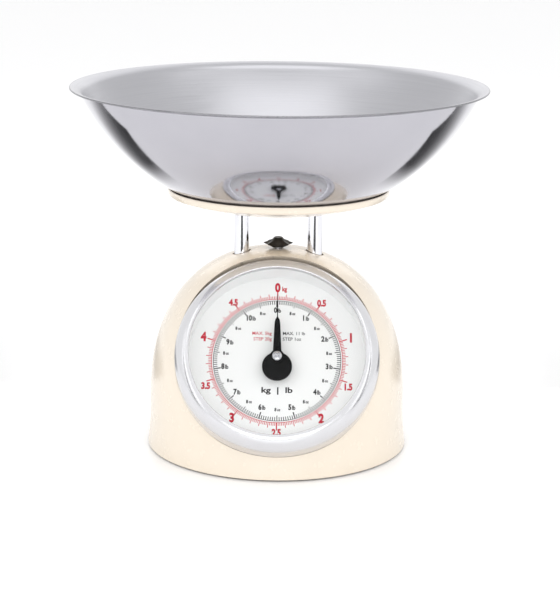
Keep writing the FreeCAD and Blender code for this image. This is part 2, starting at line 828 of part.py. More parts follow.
def platform():
    gap = seat_gap
    floor = platform_floor_z
    top = platform_rim_z
    low = platform_bottom_z
    radius = bowl_r(top, gap) + platform_rim_width
    middle = (top + floor) / 2
    rim_inner = (bowl_r(top, gap), top)
    rim_top = (radius - platform_chamfer, top)
    side_top = (radius, top - platform_chamfer)
    side_low = (radius - platform_draft, platform_side_z + 1.0)
    bend = (radius - platform_bend, platform_side_z - 0.8)
    floor_edge = (bowl_r(floor, gap), floor)
    edges = [
        line((0, low), (platform_bottom_radius, low)),
        line((platform_bottom_radius, low), bend),
        line(bend, side_low),
        line(side_low, side_top),
        line(side_top, rim_top),
        line(rim_top, rim_inner),
        arc(rim_inner, (bowl_r(middle, gap), middle), floor_edge),
        line(floor_edge, (0, floor)),
        line((0, floor), (0, low)),
    ]
    holes = []
    for side in (-1, 1):
        x = side * post_offset
        holes.append(rod(platform_screw[0], V(x, 0, low - cut), platform_thickness + 2 * cut))
        counterbore = platform_screw[1] + counterbore_gap
        holes.append(rod(counterbore, V(x, 0, screw_seat_z), counterbore_depth + cut))
    return lathe(Part.Wire(edges)).cut(holes)


def platform_screws():
    screw = pan_screw(platform_screw, screw_seat_z - platform_bottom_z + platform_screw_bite)
    return group([moved(screw, V(side * post_offset, 0, screw_seat_z)) for side in (-1, 1)])


def bowl():
    low = platform_floor_z
    top = bowl_wall_top_z
    middle = (low + top) / 2
    inner = -bowl_wall
    rim_radius = bowl_r(top) + bowl_lip_width
    half_lip = bowl_lip_thickness / 2
    outer_top = (bowl_r(top), top)
    inner_top = (bowl_r(top + bowl_wall / 2, inner), top + bowl_wall / 2)
    inner_floor = (bowl_r(low + bowl_wall, inner), low + bowl_wall)
    rim_low = (rim_radius - half_lip, bowl_rim_z - bowl_lip_thickness)
    rim_out = (rim_radius, bowl_rim_z - half_lip)
    rim_high = (rim_radius - half_lip, bowl_rim_z)
    edges = [
        line((0, low), (bowl_r(low), low)),
        arc((bowl_r(low), low), (bowl_r(middle), middle), outer_top),
        line(outer_top, rim_low),
        arc(rim_low, rim_out, rim_high),
        line(rim_high, inner_top),
        arc(inner_top, (bowl_r(middle, inner), middle), inner_floor),
        line(inner_floor, (0, low + bowl_wall)),
        line((0, low + bowl_wall), (0, low)),
    ]
    return lathe(Part.Wire(edges))


# --- levers ---------------------------------------------------------------
def lever(pin_z):
    """A forked lever from the frame's pin to the two pins on the carrier, drawn at rest."""
    pivot_z = lever_pivot_z(pin_z)
    span = math.hypot(lever_pivot_y, pivot_z - pin_z)
    along = V(0, lever_pivot_y, pivot_z - pin_z) / span
    across = V(0, -along.z, along.y)

    def at(distance, height):
        place = V(0, 0, pin_z) + along * distance + across * height
        return place.y, place.z

    def bar(start, end, half, x0, x1):
        return plate_x([at(start, -half), at(end, -half), at(end, half), at(start, half)], x0, x1)

    start = -lever_tail - lever_nose
    end = span + lever_tail
    web_end = span - lever_tail - lever_web_gap
    solids = [bar(web_end - lever_web_depth, web_end, lever_web_half, -lever_inner, lever_inner)]
    for side in (-1, 1):
        solids.append(bar(start, end, lever_half_height, side * lever_inner, side * lever_outer))
    hole_end = lever_outer + cut
    holes = [rod(pin_radius + running, V(-hole_end, lever_pivot_y, pivot_z), 2 * hole_end, X_AXIS)]
    # the pins slide in the slots by as much as the lever's slant shortens its reach
    slot_half = span - lever_pivot_y + seat_gap
    for side in (-1, 1):
        inside = side * (lever_inner - cut)
        width = pin_radius + slot_gap
        holes.append(bar(-slot_half, slot_half, width, inside, side * hole_end))
        for shift in (-slot_half, slot_half):
            y, z = at(shift, 0)
            holes.append(rod(width, V(inside, y, z), hole_end - lever_inner + cut, V(side, 0, 0)))
    return join(solids).cut(holes)


def lever_pins():
    """Two stub pins on each leg of the carrier, for the levers' slots."""
    pins = []
    length = leg_thickness + seat_gap + lever_thickness + pin_end
    for side in (-1, 1):
        x0 = side * (leg_offset - leg_thickness / 2)
        for pin_z in (upper_lever_z, lower_lever_z):
            out = V(side, 0, 0)
            shank = rod(pin_radius - pin_fit, V(x0, 0, pin_z), length, out)
            head = rod(pin_radius + pin_head_width, V(x0 + side * length, 0, pin_z), pin_head_thickness, out)
            pins.append(join([shank, head]))
    return group(pins)


def frame_pins():
    """The levers' fixed pins, held by both cheeks."""
    half = cheek_outer + frame_pin_end
    pins = []
    for pin_z in (upper_lever_z, lower_lever_z):
        start = V(-half, lever_pivot_y, lever_pivot_z(pin_z))
        pins.append(rod(pin_radius - pin_fit, start, 2 * half, X_AXIS))
    return group(pins)


def overload_stops():
    """Nylon pads on the base plate, just under the carrier's legs at full load."""
    return group([rod(stop_radius, V(side * leg_offset, 0, base_top), stop_height) for side in (-1, 1)])


# --- springs and zero adjustment ------------------------------------------
def spring(side):
    """The space that one extension spring fills: a sleeve the size of its coils, with an eye at each end."""
    x = side * spring_offset
    low = yoke_top + spring_eye
    high = hanger_z - spring_eye
    wire = spring_wire / 2
    reach = spring_radius - wire
    solids = [tube(spring_radius, spring_radius - spring_wire, V(x, 0, low), high - low)]
    for z, tip in ((low + wire, yoke_top + spring_eye_gap), (high - wire, hanger_z - spring_eye_gap)):
        solids.append(block(x - reach, x + reach, -wire, wire, z - wire, z + wire))
        solids.append(block(x - wire, x + wire, -wire, wire, min(z, tip), max(z, tip)))
    return join(solids)


def spring_hanger():
    half = spring_offset + hanger_end
    low = hanger_z - hanger_hub_drop
    bar = block(-half, half, -hanger_depth / 2, hanger_depth / 2, hanger_z, hanger_top)
    hub = rod(hanger_hub_radius, V(0, 0, low), hanger_top - low)
    holes = [rod(zero_screw_radius + running, V(0, 0, low - cut), hanger_top - low + 2 * cut)]
    for side in (-1, 1):
        place = V(side * spring_offset, 0, hanger_z - cut)
        holes.append(rod(spring_hole_radius, place, hanger_thickness + 2 * cut))
    return join([bar, hub]).cut(holes)


def zero_screw():
    bottom = hanger_z - zero_screw_end
    shank = rod(zero_screw_radius, V(0, 0, bottom), knob_top_z - knob_cap - bottom)
    collar = rod(zero_collar_radius, V(0, 0, bridge_top + press), zero_collar_height)
    return join([shank, collar])


def zero_knob():
    """A star-shaped block trimmed to the knob's turned profile."""
    points = []
    for i in range(2 * knob_lobes):
        angle = math.pi * i / knob_lobes
        radius = knob_radius if i % 2 == 0 else knob_valley_radius
        points.append(V(radius * math.cos(angle), radius * math.sin(angle), knob_bottom_z))
    star = Part.Face(polygon(points)).extrude(V(0, 0, knob_height))
    rim_low = knob_bottom_z + knob_rim_low
    rim_high = rim_low + knob_rim_thickness
    section = [
        (0, knob_bottom_z),
        (knob_foot_radius, knob_bottom_z),
        (knob_radius, rim_low),
        (knob_radius, rim_high),
        (knob_waist_radius, (rim_high + knob_top_z) / 2),
        (knob_plateau_radius, knob_top_z),
        (0, knob_top_z),
    ]
    body = star.common(lathe(polygon([V(r, 0, z) for r, z in section])))
    bore = rod(zero_screw_radius + press, V(0, 0, knob_bottom_z - cut), knob_height - knob_cap + cut + press)
    return body.cut(bore)


# --- write every node -----------------------------------------------------
nodes = {
    "housing": housing(),
    "bezel": bezel(),
    "bezel_screws": bezel_screws(),
    "lens_seal": lens_seal(),
    "lens": lens(),
    "dial_spacer": dial_spacer(),
    "dial_plate": dial_plate(),
    "dial_bracket": dial_bracket(),
    "bracket_screws": bracket_screws(),
    "mechanism_frame": mechanism_frame(),
    "frame_screws": frame_screws(),
    "base_plate": base_plate(),
    "base_screws": base_screws(),
    "rubber_feet": rubber_feet(),
    "bearing_bracket": bearing_bracket(),
    "bearing_screws": bearing_screws(),
    "rack_guide": rack_guide(),
    "shaft_bushes": shaft_bushes(),
    "overload_stops": overload_stops(),
    "frame_pins": frame_pins(),
    "pinion_shaft": pinion_shaft(),
    "pointer": pointer(),
    "pointer_screw": pointer_screw(),
    "rack": rack(),
    "rack_screw": rack_screw(),
    "carrier_frame": carrier_frame(),
    "post_left": post(-1),
    "post_right": post(1),
    "post_nuts": post_nuts(),
    "post_collars": post_collars(),
    "lever_pins": lever_pins(),
    "platform": platform(),
    "platform_screws": platform_screws(),
    "bowl": bowl(),
    "upper_lever": lever(upper_lever_z),
    "lower_lever": lever(lower_lever_z),
    "spring_left": spring(-1),
    "spring_right": spring(1),
    "spring_hanger": spring_hanger(),
    "zero_screw": zero_screw(),
    "zero_knob": zero_knob(),
}

for name, shape in nodes.items():
    save(shape, name)

print(len(nodes), "nodes")
print("dial at y", round(dial_y, 2), "z", round(dial_z, 2), "hanger at z", round(hanger_z, 3))
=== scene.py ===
import json
import math
import bpy
from mathutils import Euler, Matrix, Vector


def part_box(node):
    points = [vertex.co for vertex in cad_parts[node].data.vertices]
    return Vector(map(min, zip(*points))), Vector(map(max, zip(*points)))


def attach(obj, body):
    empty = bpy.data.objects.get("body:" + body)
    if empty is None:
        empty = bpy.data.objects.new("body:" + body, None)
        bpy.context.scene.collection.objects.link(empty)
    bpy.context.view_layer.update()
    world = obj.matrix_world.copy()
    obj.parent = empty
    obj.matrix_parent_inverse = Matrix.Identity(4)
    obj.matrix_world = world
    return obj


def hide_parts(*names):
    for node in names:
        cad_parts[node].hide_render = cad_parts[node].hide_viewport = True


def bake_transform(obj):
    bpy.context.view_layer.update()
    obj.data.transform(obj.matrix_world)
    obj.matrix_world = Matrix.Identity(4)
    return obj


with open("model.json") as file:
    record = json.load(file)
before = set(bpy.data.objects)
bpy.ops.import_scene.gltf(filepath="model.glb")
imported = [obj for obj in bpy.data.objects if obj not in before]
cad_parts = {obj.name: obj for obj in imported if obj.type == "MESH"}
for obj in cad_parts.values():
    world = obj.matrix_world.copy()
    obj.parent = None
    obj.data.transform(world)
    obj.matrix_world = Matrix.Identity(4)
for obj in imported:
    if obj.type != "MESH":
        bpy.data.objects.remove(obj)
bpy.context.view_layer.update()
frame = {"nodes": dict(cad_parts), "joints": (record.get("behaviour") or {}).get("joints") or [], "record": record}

mm = 0.001
sameSpot = 0.001 * mm    # two places closer than this are one
nodes = frame["nodes"]
joints = {joint["name"]: joint for joint in frame["joints"]}
print("frame loaded:", len(nodes), "nodes")

# the dial's own frame: x across, y up the dial, z straight out of it
dialCentre = Vector(joints["pointer_spin"]["pos_m"])
dialNormal = Vector(joints["pointer_spin"]["axis"]).normalized()
dialUp = dialNormal.cross(Vector((1, 0, 0))).normalized()
dialMatrix = Matrix((Vector((1, 0, 0)), dialUp, dialNormal)).transposed().to_4x4()
dialMatrix.translation = dialCentre


def reach(node):
    # furthest a node stands from the vertical axis
    low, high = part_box(node)
    return max(high.x, -low.x)


def dialSpan(node):
    # lowest and highest distance of a node in front of the dial plate, and its half width
    heights = [(vertex.co - dialCentre).dot(dialNormal) for vertex in nodes[node].data.vertices]
    return min(heights), max(heights), reach(node)


camera = {
    "place": (0.0014, -1.080, 0.362),
    "tilt": 14.14,
    "roll": 0.55,
    "lens": 108.9,
}


def addCamera():
    bpy.ops.object.camera_add(location=camera["place"])
    view = bpy.context.object
    aim = Euler((math.radians(90 - camera["tilt"]), 0, 0)).to_matrix()
    view.rotation_euler = (aim @ Matrix.Rotation(math.radians(camera["roll"]), 3, "Z")).to_euler()
    view.data.lens = camera["lens"]
    view.data.sensor_width = 36
    view.data.clip_end = 20
    bpy.context.scene.camera = view


addCamera()


class Value:
    # one number in a shader; a sum on it adds a Math node
    def __init__(self, sheet, socket):
        self.sheet = sheet
        self.socket = socket

    def maths(self, operation, *inputs):
        return self.sheet.add("ShaderNodeMath", {"operation": operation}, dict(enumerate(inputs)))

    def __add__(self, other):
        return self.maths("ADD", self, other)

    def __radd__(self, other):
        return self.maths("ADD", other, self)

    def __mul__(self, other):
        return self.maths("MULTIPLY", self, other)

    def __rmul__(self, other):
        return self.maths("MULTIPLY", other, self)

    def __pow__(self, other):
        return self.maths("POWER", self, other)


class Sheet:
    # one material and its nodes
    def __init__(self, name, **constants):
        self.material = bpy.data.materials.new(name)
        self.material.use_nodes = True
        self.tree = self.material.node_tree
        self.shader = self.tree.nodes["Principled BSDF"]
        self.place = self.add("ShaderNodeTexCoord", {}, {}, "Object")
        for socket, value in constants.items():
            self.shader.inputs[socket.replace("_", " ")].default_value = value

    def add(self, kind, settings, inputs, output=0):
        node = self.tree.nodes.new(kind)
        for key, value in settings.items():
            setattr(node, key, value)
        for key, value in inputs.items():
            self.feed(node.inputs[key], value)
        return Value(self, node.outputs[output])

    def feed(self, socket, value):
        if isinstance(value, Value):
            self.tree.links.new(value.socket, socket)
        elif isinstance(value, tuple) and len(value) == 3 and socket.type == "RGBA":
            socket.default_value = (*value, 1)
        else:
            socket.default_value = value

    def noise(self, scale, detail=2.0, rough=0.5, vector=None):
        inputs = {"Vector": vector or self.place, "Scale": scale, "Detail": detail, "Roughness": rough}
        return self.add("ShaderNodeTexNoise", {}, inputs, "Fac")

    def cells(self, scale, vector=None):
        inputs = {"Vector": vector or self.place, "Scale": scale}
        return self.add("ShaderNodeTexVoronoi", {}, inputs, "Distance")

    def parts(self, vector=None):
        split = self.tree.nodes.new("ShaderNodeSeparateXYZ")
        self.feed(split.inputs[0], vector or self.place)
        return [Value(self, output) for output in split.outputs]

    def vector(self, x, y, z):
        return self.add("ShaderNodeCombineXYZ", {}, {0: x, 1: y, 2: z})

    def turned(self, location=(0, 0, 0), rotation=(0, 0, 0), scale=(1, 1, 1)):
        inputs = {"Vector": self.place, "Location": location, "Rotation": rotation, "Scale": scale}
        return self.add("ShaderNodeMapping", {"vector_type": "TEXTURE"}, inputs)

    def spread(self, value, low, high, outLow=0.0, outHigh=1.0):
        inputs = {"Value": value, "From Min": low, "From Max": high, "To Min": outLow, "To Max": outHigh}
        return self.add("ShaderNodeMapRange", {"clamp": True, "interpolation_type": "SMOOTHSTEP"}, inputs)

    def mix(self, factor, first, second):
        return self.add("ShaderNodeMix", {"data_type": "RGBA"}, {0: factor, 6: first, 7: second}, 2)

    def bump(self, height, strength, distance):
        inputs = {"Height": height, "Strength": strength, "Distance": distance}
        self.use("Normal", self.add("ShaderNodeBump", {}, inputs))

    def use(self, socket, value):
        self.feed(self.shader.inputs[socket], value)


def ringCoordinates(sheet, vector=None):
    # radius, angle and height about the z axis of a vector
    x, y, z = sheet.parts(vector)
    radius = (x * x + y * y) ** 0.5
    angle = sheet.add("ShaderNodeMath", {"operation": "ARCTAN2"}, {0: y, 1: x})
    return radius, angle, z


def tone(red, green, blue):
    # a screen colour out of 255, as light
    def one(level):
        share = level / 255
        return share / 12.92 if share <= 0.04045 else ((share + 0.055) / 1.055) ** 2.4
    return one(red), one(green), one(blue)


studio = {
    "world": 1.0,
    "floorSize": 12.0,
    "floorTone": (0.95, 0.95, 0.955),
    "floorRough": 0.3,
    # place, target, width, height, watts
    "lights": [
        ((0.0, -0.35, 1.75), (0, 0, 0.1), 1.6, 1.2, 6.0),
        ((-1.5, -0.9, 0.9), (0, 0, 0.12), 0.9, 1.4, 4.0),
        ((1.5, -0.9, 0.9), (0, 0, 0.12), 0.9, 1.4, 4.0),
        ((0.0, 1.3, 0.9), (0, 0, 0.16), 1.6, 1.0, 3.0),
        ((0.0, -1.5, 0.42), (0, 0, 0.11), 1.2, 0.5, 4.5),
    ],
    # place, width, height, turn about z in degrees
    "cards": [
        ((-0.72, -0.42, 0.30), 0.30, 0.9, 60),
        ((0.72, -0.42, 0.30), 0.30, 0.9, -60),
    ],
    # flat cards just over the floor: near and far corners, and a point and normal of the cut
    # that takes the side cards' outer corner off
    "floorCards": {
        "side": ((0.12, 0.118), (0.50, 0.60)),
        "corner": ((0.300, 0.118), (0.763, -0.646)),
        "front": ((-0.17, -0.86), (0.17, -0.45)),
        "height": 0.002,
        "fade": (0.13, 0.56),
        "tip": (0.13, 0.21),
        "strength": 0.97,
    },
    "cardTone": (0.012, 0.012, 0.013),
    "cardRough": 0.9,
}


def plainMaterial(name, colour, rough):
    material = bpy.data.materials.new(name)
    material.use_nodes = True
    shader = material.node_tree.nodes["Principled BSDF"]
    shader.inputs["Base Color"].default_value = (*colour, 1)
    shader.inputs["Roughness"].default_value = rough
    return material


def addStudio():
    world = bpy.data.worlds.new("studio")
    world.use_nodes = True
    world.node_tree.nodes["Background"].inputs["Color"].default_value = (1, 1, 1, 1)
    world.node_tree.nodes["Background"].inputs["Strength"].default_value = studio["world"]
    bpy.context.scene.world = world
    bpy.context.scene.view_settings.view_transform = "Standard"
    bpy.ops.mesh.primitive_plane_add(size=studio["floorSize"])
    floor = bpy.context.object
    floor.name = "floor"
    floor.data.materials.append(plainMaterial("floorPaper", studio["floorTone"], studio["floorRough"]))
    for place, target, width, height, watts in studio["lights"]:
        bpy.ops.object.light_add(type="AREA", location=place)
        light = bpy.context.object
        light.data.shape = "RECTANGLE"
        light.data.size = width
        light.data.size_y = height
        light.data.energy = watts
        aim = Vector(target) - Vector(place)
        light.rotation_euler = aim.to_track_quat("-Z", "Y").to_euler()
    card = plainMaterial("blackCard", studio["cardTone"], studio["cardRough"])
    for place, width, height, turn in studio["cards"]:
        bpy.ops.mesh.primitive_plane_add(size=1, location=place)
        flag = bpy.context.object
        flag.scale = (width, height, 1)
        flag.rotation_euler = (math.radians(90), 0, math.radians(turn))
        hideCard(flag, card)
    cards = studio["floorCards"]
    hideCard(addFloorCard(*cards["front"]), card)
    (nearX, nearY), (farX, farY) = cards["side"]
    (cutX, cutY), (normalX, normalY) = cards["corner"]
    for side in (-1, 1):
        flag = addFloorCard((side * nearX, nearY), (side * farX, farY))
        bpy.ops.object.transform_apply(location=True, rotation=True, scale=True)
        bpy.ops.object.mode_set(mode="EDIT")
        bpy.ops.mesh.select_all(action="SELECT")
        through = (side * cutX, cutY, 0)
        bpy.ops.mesh.bisect(plane_co=through, plane_no=(side * normalX, normalY, 0), clear_outer=True)
        bpy.ops.object.mode_set(mode="OBJECT")
        hideCard(flag, makeFadeCard())


def makeFadeCard():
    # black near the scale, and clear at its far edge
    sheet = Sheet("fadeCard", Base_Color=(*studio["cardTone"], 1), Roughness=studio["cardRough"])
    cards = studio["floorCards"]
    x, y = sheet.parts()[:2]
    tip = sheet.spread((x * x) ** 0.5, *cards["tip"])
    sheet.use("Alpha", sheet.spread(y, *cards["fade"], cards["strength"], 0.0) * tip)
    return sheet.material


def addFloorCard(near, far):
    bpy.ops.object.select_all(action="DESELECT")
    place = ((near[0] + far[0]) / 2, (near[1] + far[1]) / 2, studio["floorCards"]["height"])
    bpy.ops.mesh.primitive_plane_add(size=1, location=place)
    flag = bpy.context.object
    flag.scale = (abs(far[0] - near[0]), abs(far[1] - near[1]), 1)
    return flag


def hideCard(flag, material):
    # a card shows only in reflections
    flag.name = "card"
    flag.data.materials.append(material)
    flag.visible_camera = False
    flag.visible_shadow = False
    flag.visible_diffuse = False


addStudio()
print("studio done")


def makeEnamel():
    sheet = Sheet("creamEnamel", Coat_Weight=0.45, Coat_Roughness=0.10)
    cloud = sheet.noise(14, 3)
    speck = sheet.cells(900)
    dust = sheet.noise(130, 5, 0.65)
    base = sheet.mix(cloud * 0.5, tone(233, 222, 206), tone(231, 219, 201))
    # painted shade: over its lowest 12 mm the enamel is darkened towards the floor to a tan, in the dust pattern;
    # this stands in for the contact shade at the foot
    low = sheet.spread(sheet.parts()[2], 0.0, 0.012, 1.0, 0.0)
    base = sheet.mix(low * dust * 0.25, base, tone(205, 188, 160))
    sheet.use("Base Color", base)
    sheet.use("Roughness", sheet.spread(dust, 0.35, 0.75, 0.22, 0.30))
    peel = sheet.noise(420, 2) * 0.6 + sheet.noise(1300, 1) * 0.25 + speck * 0.15
    sheet.bump(peel, 0.001, 0.0002)
    return sheet.material


def makeSteelOutside():
    sheet = Sheet("polishedSteel", Metallic=1.0)
    radius, angle, height = ringCoordinates(sheet)
    spun = sheet.noise(1.0, 3, 0.6, sheet.vector(radius * 1500, height * 1500, angle * 1.5))
    smear = sheet.noise(28, 4, 0.6)
    sheet.use("Base Color", sheet.mix(smear, tone(180, 179, 186), tone(190, 189, 195)))
    sheet.use("Roughness", sheet.spread(smear, 0.35, 0.7, 0.055, 0.11) + spun * 0.03)
    sheet.bump(spun, 0.05, 0.0002)
    return sheet.material


def makeSteelInside():
    sheet = Sheet("satinSteel", Metallic=1.0)
    radius, angle, height = ringCoordinates(sheet)
    spun = sheet.noise(1.0, 4, 0.7, sheet.vector(radius * 1100, height * 1100, angle * 2.2))
    smear = sheet.noise(22, 3, 0.5)
    sheet.use("Base Color", sheet.mix(spun, tone(168, 168, 173), tone(190, 190, 194)))
    sheet.use("Roughness", sheet.spread(spun, 0.3, 0.7, 0.27, 0.40) + smear * 0.05)
    sheet.bump(spun, 0.16, 0.0003)
    return sheet.material


def makeRimSteel():
    sheet = Sheet("cutEdge", Metallic=1.0)
    grain = sheet.noise(2600, 2)
    sheet.use("Base Color", sheet.mix(grain, tone(120, 120, 124), tone(168, 168, 172)))
    sheet.use("Roughness", sheet.spread(grain, 0.3, 0.7, 0.22, 0.36))
    sheet.bump(grain, 0.08, 0.0002)
    return sheet.material


def makeChrome():
    sheet = Sheet("chromePlate", Metallic=1.0)
    smear = sheet.noise(90, 4, 0.6)
    scratch = sheet.noise(1.0, 2, 0.5, sheet.turned(scale=(0.0006, 0.0006, 0.01)))
    sheet.use("Base Color", sheet.mix(smear, tone(226, 226, 231), tone(238, 238, 241)))
    sheet.use("Roughness", sheet.spread(smear, 0.4, 0.7, 0.025, 0.07))
    sheet.bump(scratch, 0.02, 0.0001)
    return sheet.material


dialTurn = dialMatrix.to_euler()


def makeBezelSilver():
    sheet = Sheet("bezelSilver", Metallic=0.8)
    local = sheet.turned(location=tuple(dialCentre), rotation=tuple(dialTurn))
    radius, angle, height = ringCoordinates(sheet, local)
    turned = sheet.noise(1.0, 3, 0.6, sheet.vector(radius * 1800, height * 1800, angle * 1.2))
    smear = sheet.noise(45, 4, 0.6)
    sheet.use("Base Color", sheet.mix(smear, tone(214, 214, 217), tone(222, 222, 225)))
    sheet.use("Roughness", sheet.spread(smear, 0.35, 0.7, 0.17, 0.24) + turned * 0.03)
    sheet.bump(turned, 0.03, 0.0002)
    return sheet.material


def makeSpacerGrey():
    sheet = Sheet("spacerGrey")
    grain = sheet.noise(1500, 3)
    sheet.use("Base Color", sheet.mix(grain, tone(240, 241, 241), tone(245, 246, 246)))
    sheet.use("Roughness", sheet.spread(grain, 0.3, 0.7, 0.38, 0.50))
    sheet.bump(grain, 0.05, 0.0002)
    return sheet.material


def makeLens():
    sheet = Sheet("clearLens", Roughness=0.02, IOR=1.45)
    tree = sheet.tree
    clear = tree.nodes.new("ShaderNodeBsdfTransparent")
    clear.inputs["Color"].default_value = (0.985, 0.99, 0.99, 1)
    gloss = tree.nodes.new("ShaderNodeBsdfGlossy")
    gloss.inputs["Roughness"].default_value = 0.015
    blend = tree.nodes.new("ShaderNodeMixShader")
    edge = sheet.add("ShaderNodeFresnel", {}, {"IOR": 1.42})
    smear = sheet.noise(60, 4, 0.6)
    sheet.feed(blend.inputs["Fac"], edge * sheet.spread(smear, 0.3, 0.8, 0.10, 0.16))
    tree.links.new(clear.outputs[0], blend.inputs[1])
    tree.links.new(gloss.outputs[0], blend.inputs[2])
    tree.links.new(blend.outputs[0], tree.nodes["Material Output"].inputs["Surface"])
    tree.nodes.remove(sheet.shader)
    return sheet.material


def makeDialWhite():
    sheet = Sheet("dialWhite", Coat_Weight=0.1)
    fibre = sheet.noise(700, 4, 0.6)
    cloud = sheet.noise(18, 2)
    base = sheet.mix(cloud, tone(243, 243, 243), tone(247, 246, 245))
    sheet.use("Base Color", sheet.mix(fibre * 0.15, base, tone(232, 232, 232)))
    sheet.use("Roughness", sheet.spread(fibre, 0.3, 0.7, 0.34, 0.46))
    sheet.bump(fibre, 0.04, 0.0001)
    return sheet.material


def makeInk(name, dark, light):
    sheet = Sheet(name)
    grain = sheet.noise(2500, 3)
    sheet.use("Base Color", sheet.mix(grain, dark, light))
    sheet.use("Roughness", sheet.spread(grain, 0.3, 0.7, 0.35, 0.5))
    sheet.bump(grain, 0.05, 0.00005)
    return sheet.material


def makeGlossBlack():
    sheet = Sheet("pointerBlack", Specular_IOR_Level=0.12)
    grain = sheet.noise(500, 3)
    sheet.use("Base Color", sheet.mix(grain, tone(5, 5, 6), tone(14, 14, 15)))
    sheet.use("Roughness", sheet.spread(grain, 0.3, 0.7, 0.34, 0.46))
    sheet.bump(grain, 0.07, 0.0002)
    return sheet.material


def makeKnobBlack():
    sheet = Sheet("knobBlack", Specular_IOR_Level=0.3)
    grain = sheet.cells(1600)
    wear = sheet.noise(260, 4, 0.6)
    sheet.use("Base Color", sheet.mix(wear, tone(14, 13, 12), tone(30, 27, 24)))
    sheet.use("Roughness", sheet.spread(wear, 0.3, 0.7, 0.26, 0.42))
    sheet.bump(grain, 0.10, 0.0002)
    return sheet.material


def makeNylon():
    sheet = Sheet("nylonWhite", Subsurface_Weight=0.15)
    cloud = sheet.noise(240, 3)
    sheet.use("Base Color", sheet.mix(cloud, tone(236, 233, 225), tone(226, 222, 212)))
    sheet.use("Roughness", sheet.spread(cloud, 0.3, 0.7, 0.38, 0.52))
    sheet.bump(cloud, 0.06, 0.0002)
    return sheet.material


def makeRubber():
    sheet = Sheet("rubberBlack")
    grain = sheet.noise(900, 4, 0.65)
    dust = sheet.noise(80, 4, 0.6)
    sheet.use("Base Color", sheet.mix(dust * 0.5, tone(26, 26, 27), tone(60, 59, 57)))
    sheet.use("Roughness", sheet.spread(grain, 0.3, 0.7, 0.68, 0.88))
    sheet.bump(grain, 0.2, 0.0003)
    return sheet.material


def makeSheetSteel(name, dark, light, rough):
    # zinc plated sheet: long rolled grain and a fine spangle
    sheet = Sheet(name, Metallic=1.0)
    rolled = sheet.noise(1.0, 4, 0.6, sheet.turned(scale=(0.0012, 0.0009, 0.03)))
    spangle = sheet.cells(260)
    sheet.use("Base Color", sheet.mix(rolled * 0.7 + spangle * 0.3, dark, light))
    sheet.use("Roughness", sheet.spread(rolled, 0.25, 0.75, rough - 0.06, rough + 0.08))
    sheet.bump(rolled, 0.08, 0.0002)
    return sheet.material


def makeBrass():
    sheet = Sheet("brassTurned", Metallic=1.0)
    lines = sheet.noise(1.0, 3, 0.6, sheet.turned(scale=(0.0006, 0.004, 0.0006)))
    tarnish = sheet.noise(120, 4, 0.6)
    sheet.use("Base Color", sheet.mix(tarnish * 0.6, tone(214, 182, 108), tone(160, 124, 66)))
    sheet.use("Roughness", sheet.spread(lines, 0.3, 0.7, 0.18, 0.32))
    sheet.bump(lines, 0.08, 0.0002)
    return sheet.material


def makeBasePaint():
    sheet = Sheet("basePaint")
    grain = sheet.noise(600, 4, 0.6)
    scuff = sheet.noise(1.0, 4, 0.6, sheet.turned(scale=(0.02, 0.002, 0.02)))
    sheet.use("Base Color", sheet.mix(scuff * 0.5, tone(206, 203, 196), tone(184, 181, 174)))
    sheet.use("Roughness", sheet.spread(grain, 0.3, 0.7, 0.42, 0.58))
    sheet.bump(grain, 0.12, 0.0002)
    return sheet.material


finish = {
    "cream_enamel": makeEnamel(),
    "stainless": makeSteelOutside(),
    "stainlessInside": makeSteelInside(),
    "stainlessEdge": makeRimSteel(),
    "chrome": makeChrome(),
    "satin_silver": makeBezelSilver(),
    "grey_plastic": makeSpacerGrey(),
    "clear_cover": makeLens(),
    "dial_white": makeDialWhite(),
    "inkRed": makeInk("inkRed", tone(196, 16, 44), tone(212, 30, 58)),
    "inkBlack": makeInk("inkBlack", tone(22, 22, 24), tone(40, 40, 42)),
    "black_paint": makeGlossBlack(),
    "black_plastic": makeKnobBlack(),
    "nylon": makeNylon(),
    "black_rubber": makeRubber(),
    "pressed_steel": makeSheetSteel("zincSheet", tone(168, 168, 172), tone(204, 204, 208), 0.34),
    "screw_steel": makeSheetSteel("screwSteel", tone(176, 176, 180), tone(220, 220, 224), 0.24),
    "spring_steel": makeSheetSteel("springWire", tone(120, 120, 126), tone(178, 178, 184), 0.28),
    "brass": makeBrass(),
    "painted_base": makeBasePaint(),
}
print("finishes done:", len(finish))

for entry in frame["record"]["subparts"]:
    slots = nodes[entry["node"]].data.materials
    slots.clear()
    slots.append(finish[entry["material_slot"]])


def clearSelection():
    if bpy.context.mode != "OBJECT":
        bpy.ops.object.mode_set(mode="OBJECT")
    bpy.ops.object.select_all(action="DESELECT")


def choose(piece):
    clearSelection()
    piece.select_set(True)
    bpy.context.view_layer.objects.active = piece


def applyPlace(piece):
    choose(piece)
    bpy.ops.object.transform_apply(location=True, rotation=True, scale=True)


def toDial(piece):
    # from the dial's own frame to its place in the scale
    applyPlace(piece)
    piece.matrix_world = dialMatrix
    applyPlace(piece)


def applyModifiers(piece):
    choose(piece)
    for modifier in list(piece.modifiers):
        bpy.ops.object.modifier_apply(modifier=modifier.name)


def smooth(piece, degrees=35):
    choose(piece)
    bpy.ops.object.shade_smooth_by_angle(angle=math.radians(degrees))


def outward(piece):
    choose(piece)
    bpy.ops.object.mode_set(mode="EDIT")
    bpy.ops.mesh.select_all(action="SELECT")
    bpy.ops.mesh.remove_doubles(threshold=2 * sameSpot)
    bpy.ops.mesh.normals_make_consistent(inside=False)
    bpy.ops.object.mode_set(mode="OBJECT")


def bevelEdges(piece, width, segments=2, degrees=30):
    modifier = piece.modifiers.new("bevel", "BEVEL")
    modifier.width = width
    modifier.segments = segments
    modifier.limit_method = "ANGLE"
    modifier.angle_limit = math.radians(degrees)
    applyModifiers(piece)


def paint(piece, *names):
    piece.data.materials.clear()
    for name in names:
        piece.data.materials.append(finish[name])


def settle(piece, body, slotName, *replaced):
    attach(piece, body)
    if replaced:
        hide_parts(*replaced)


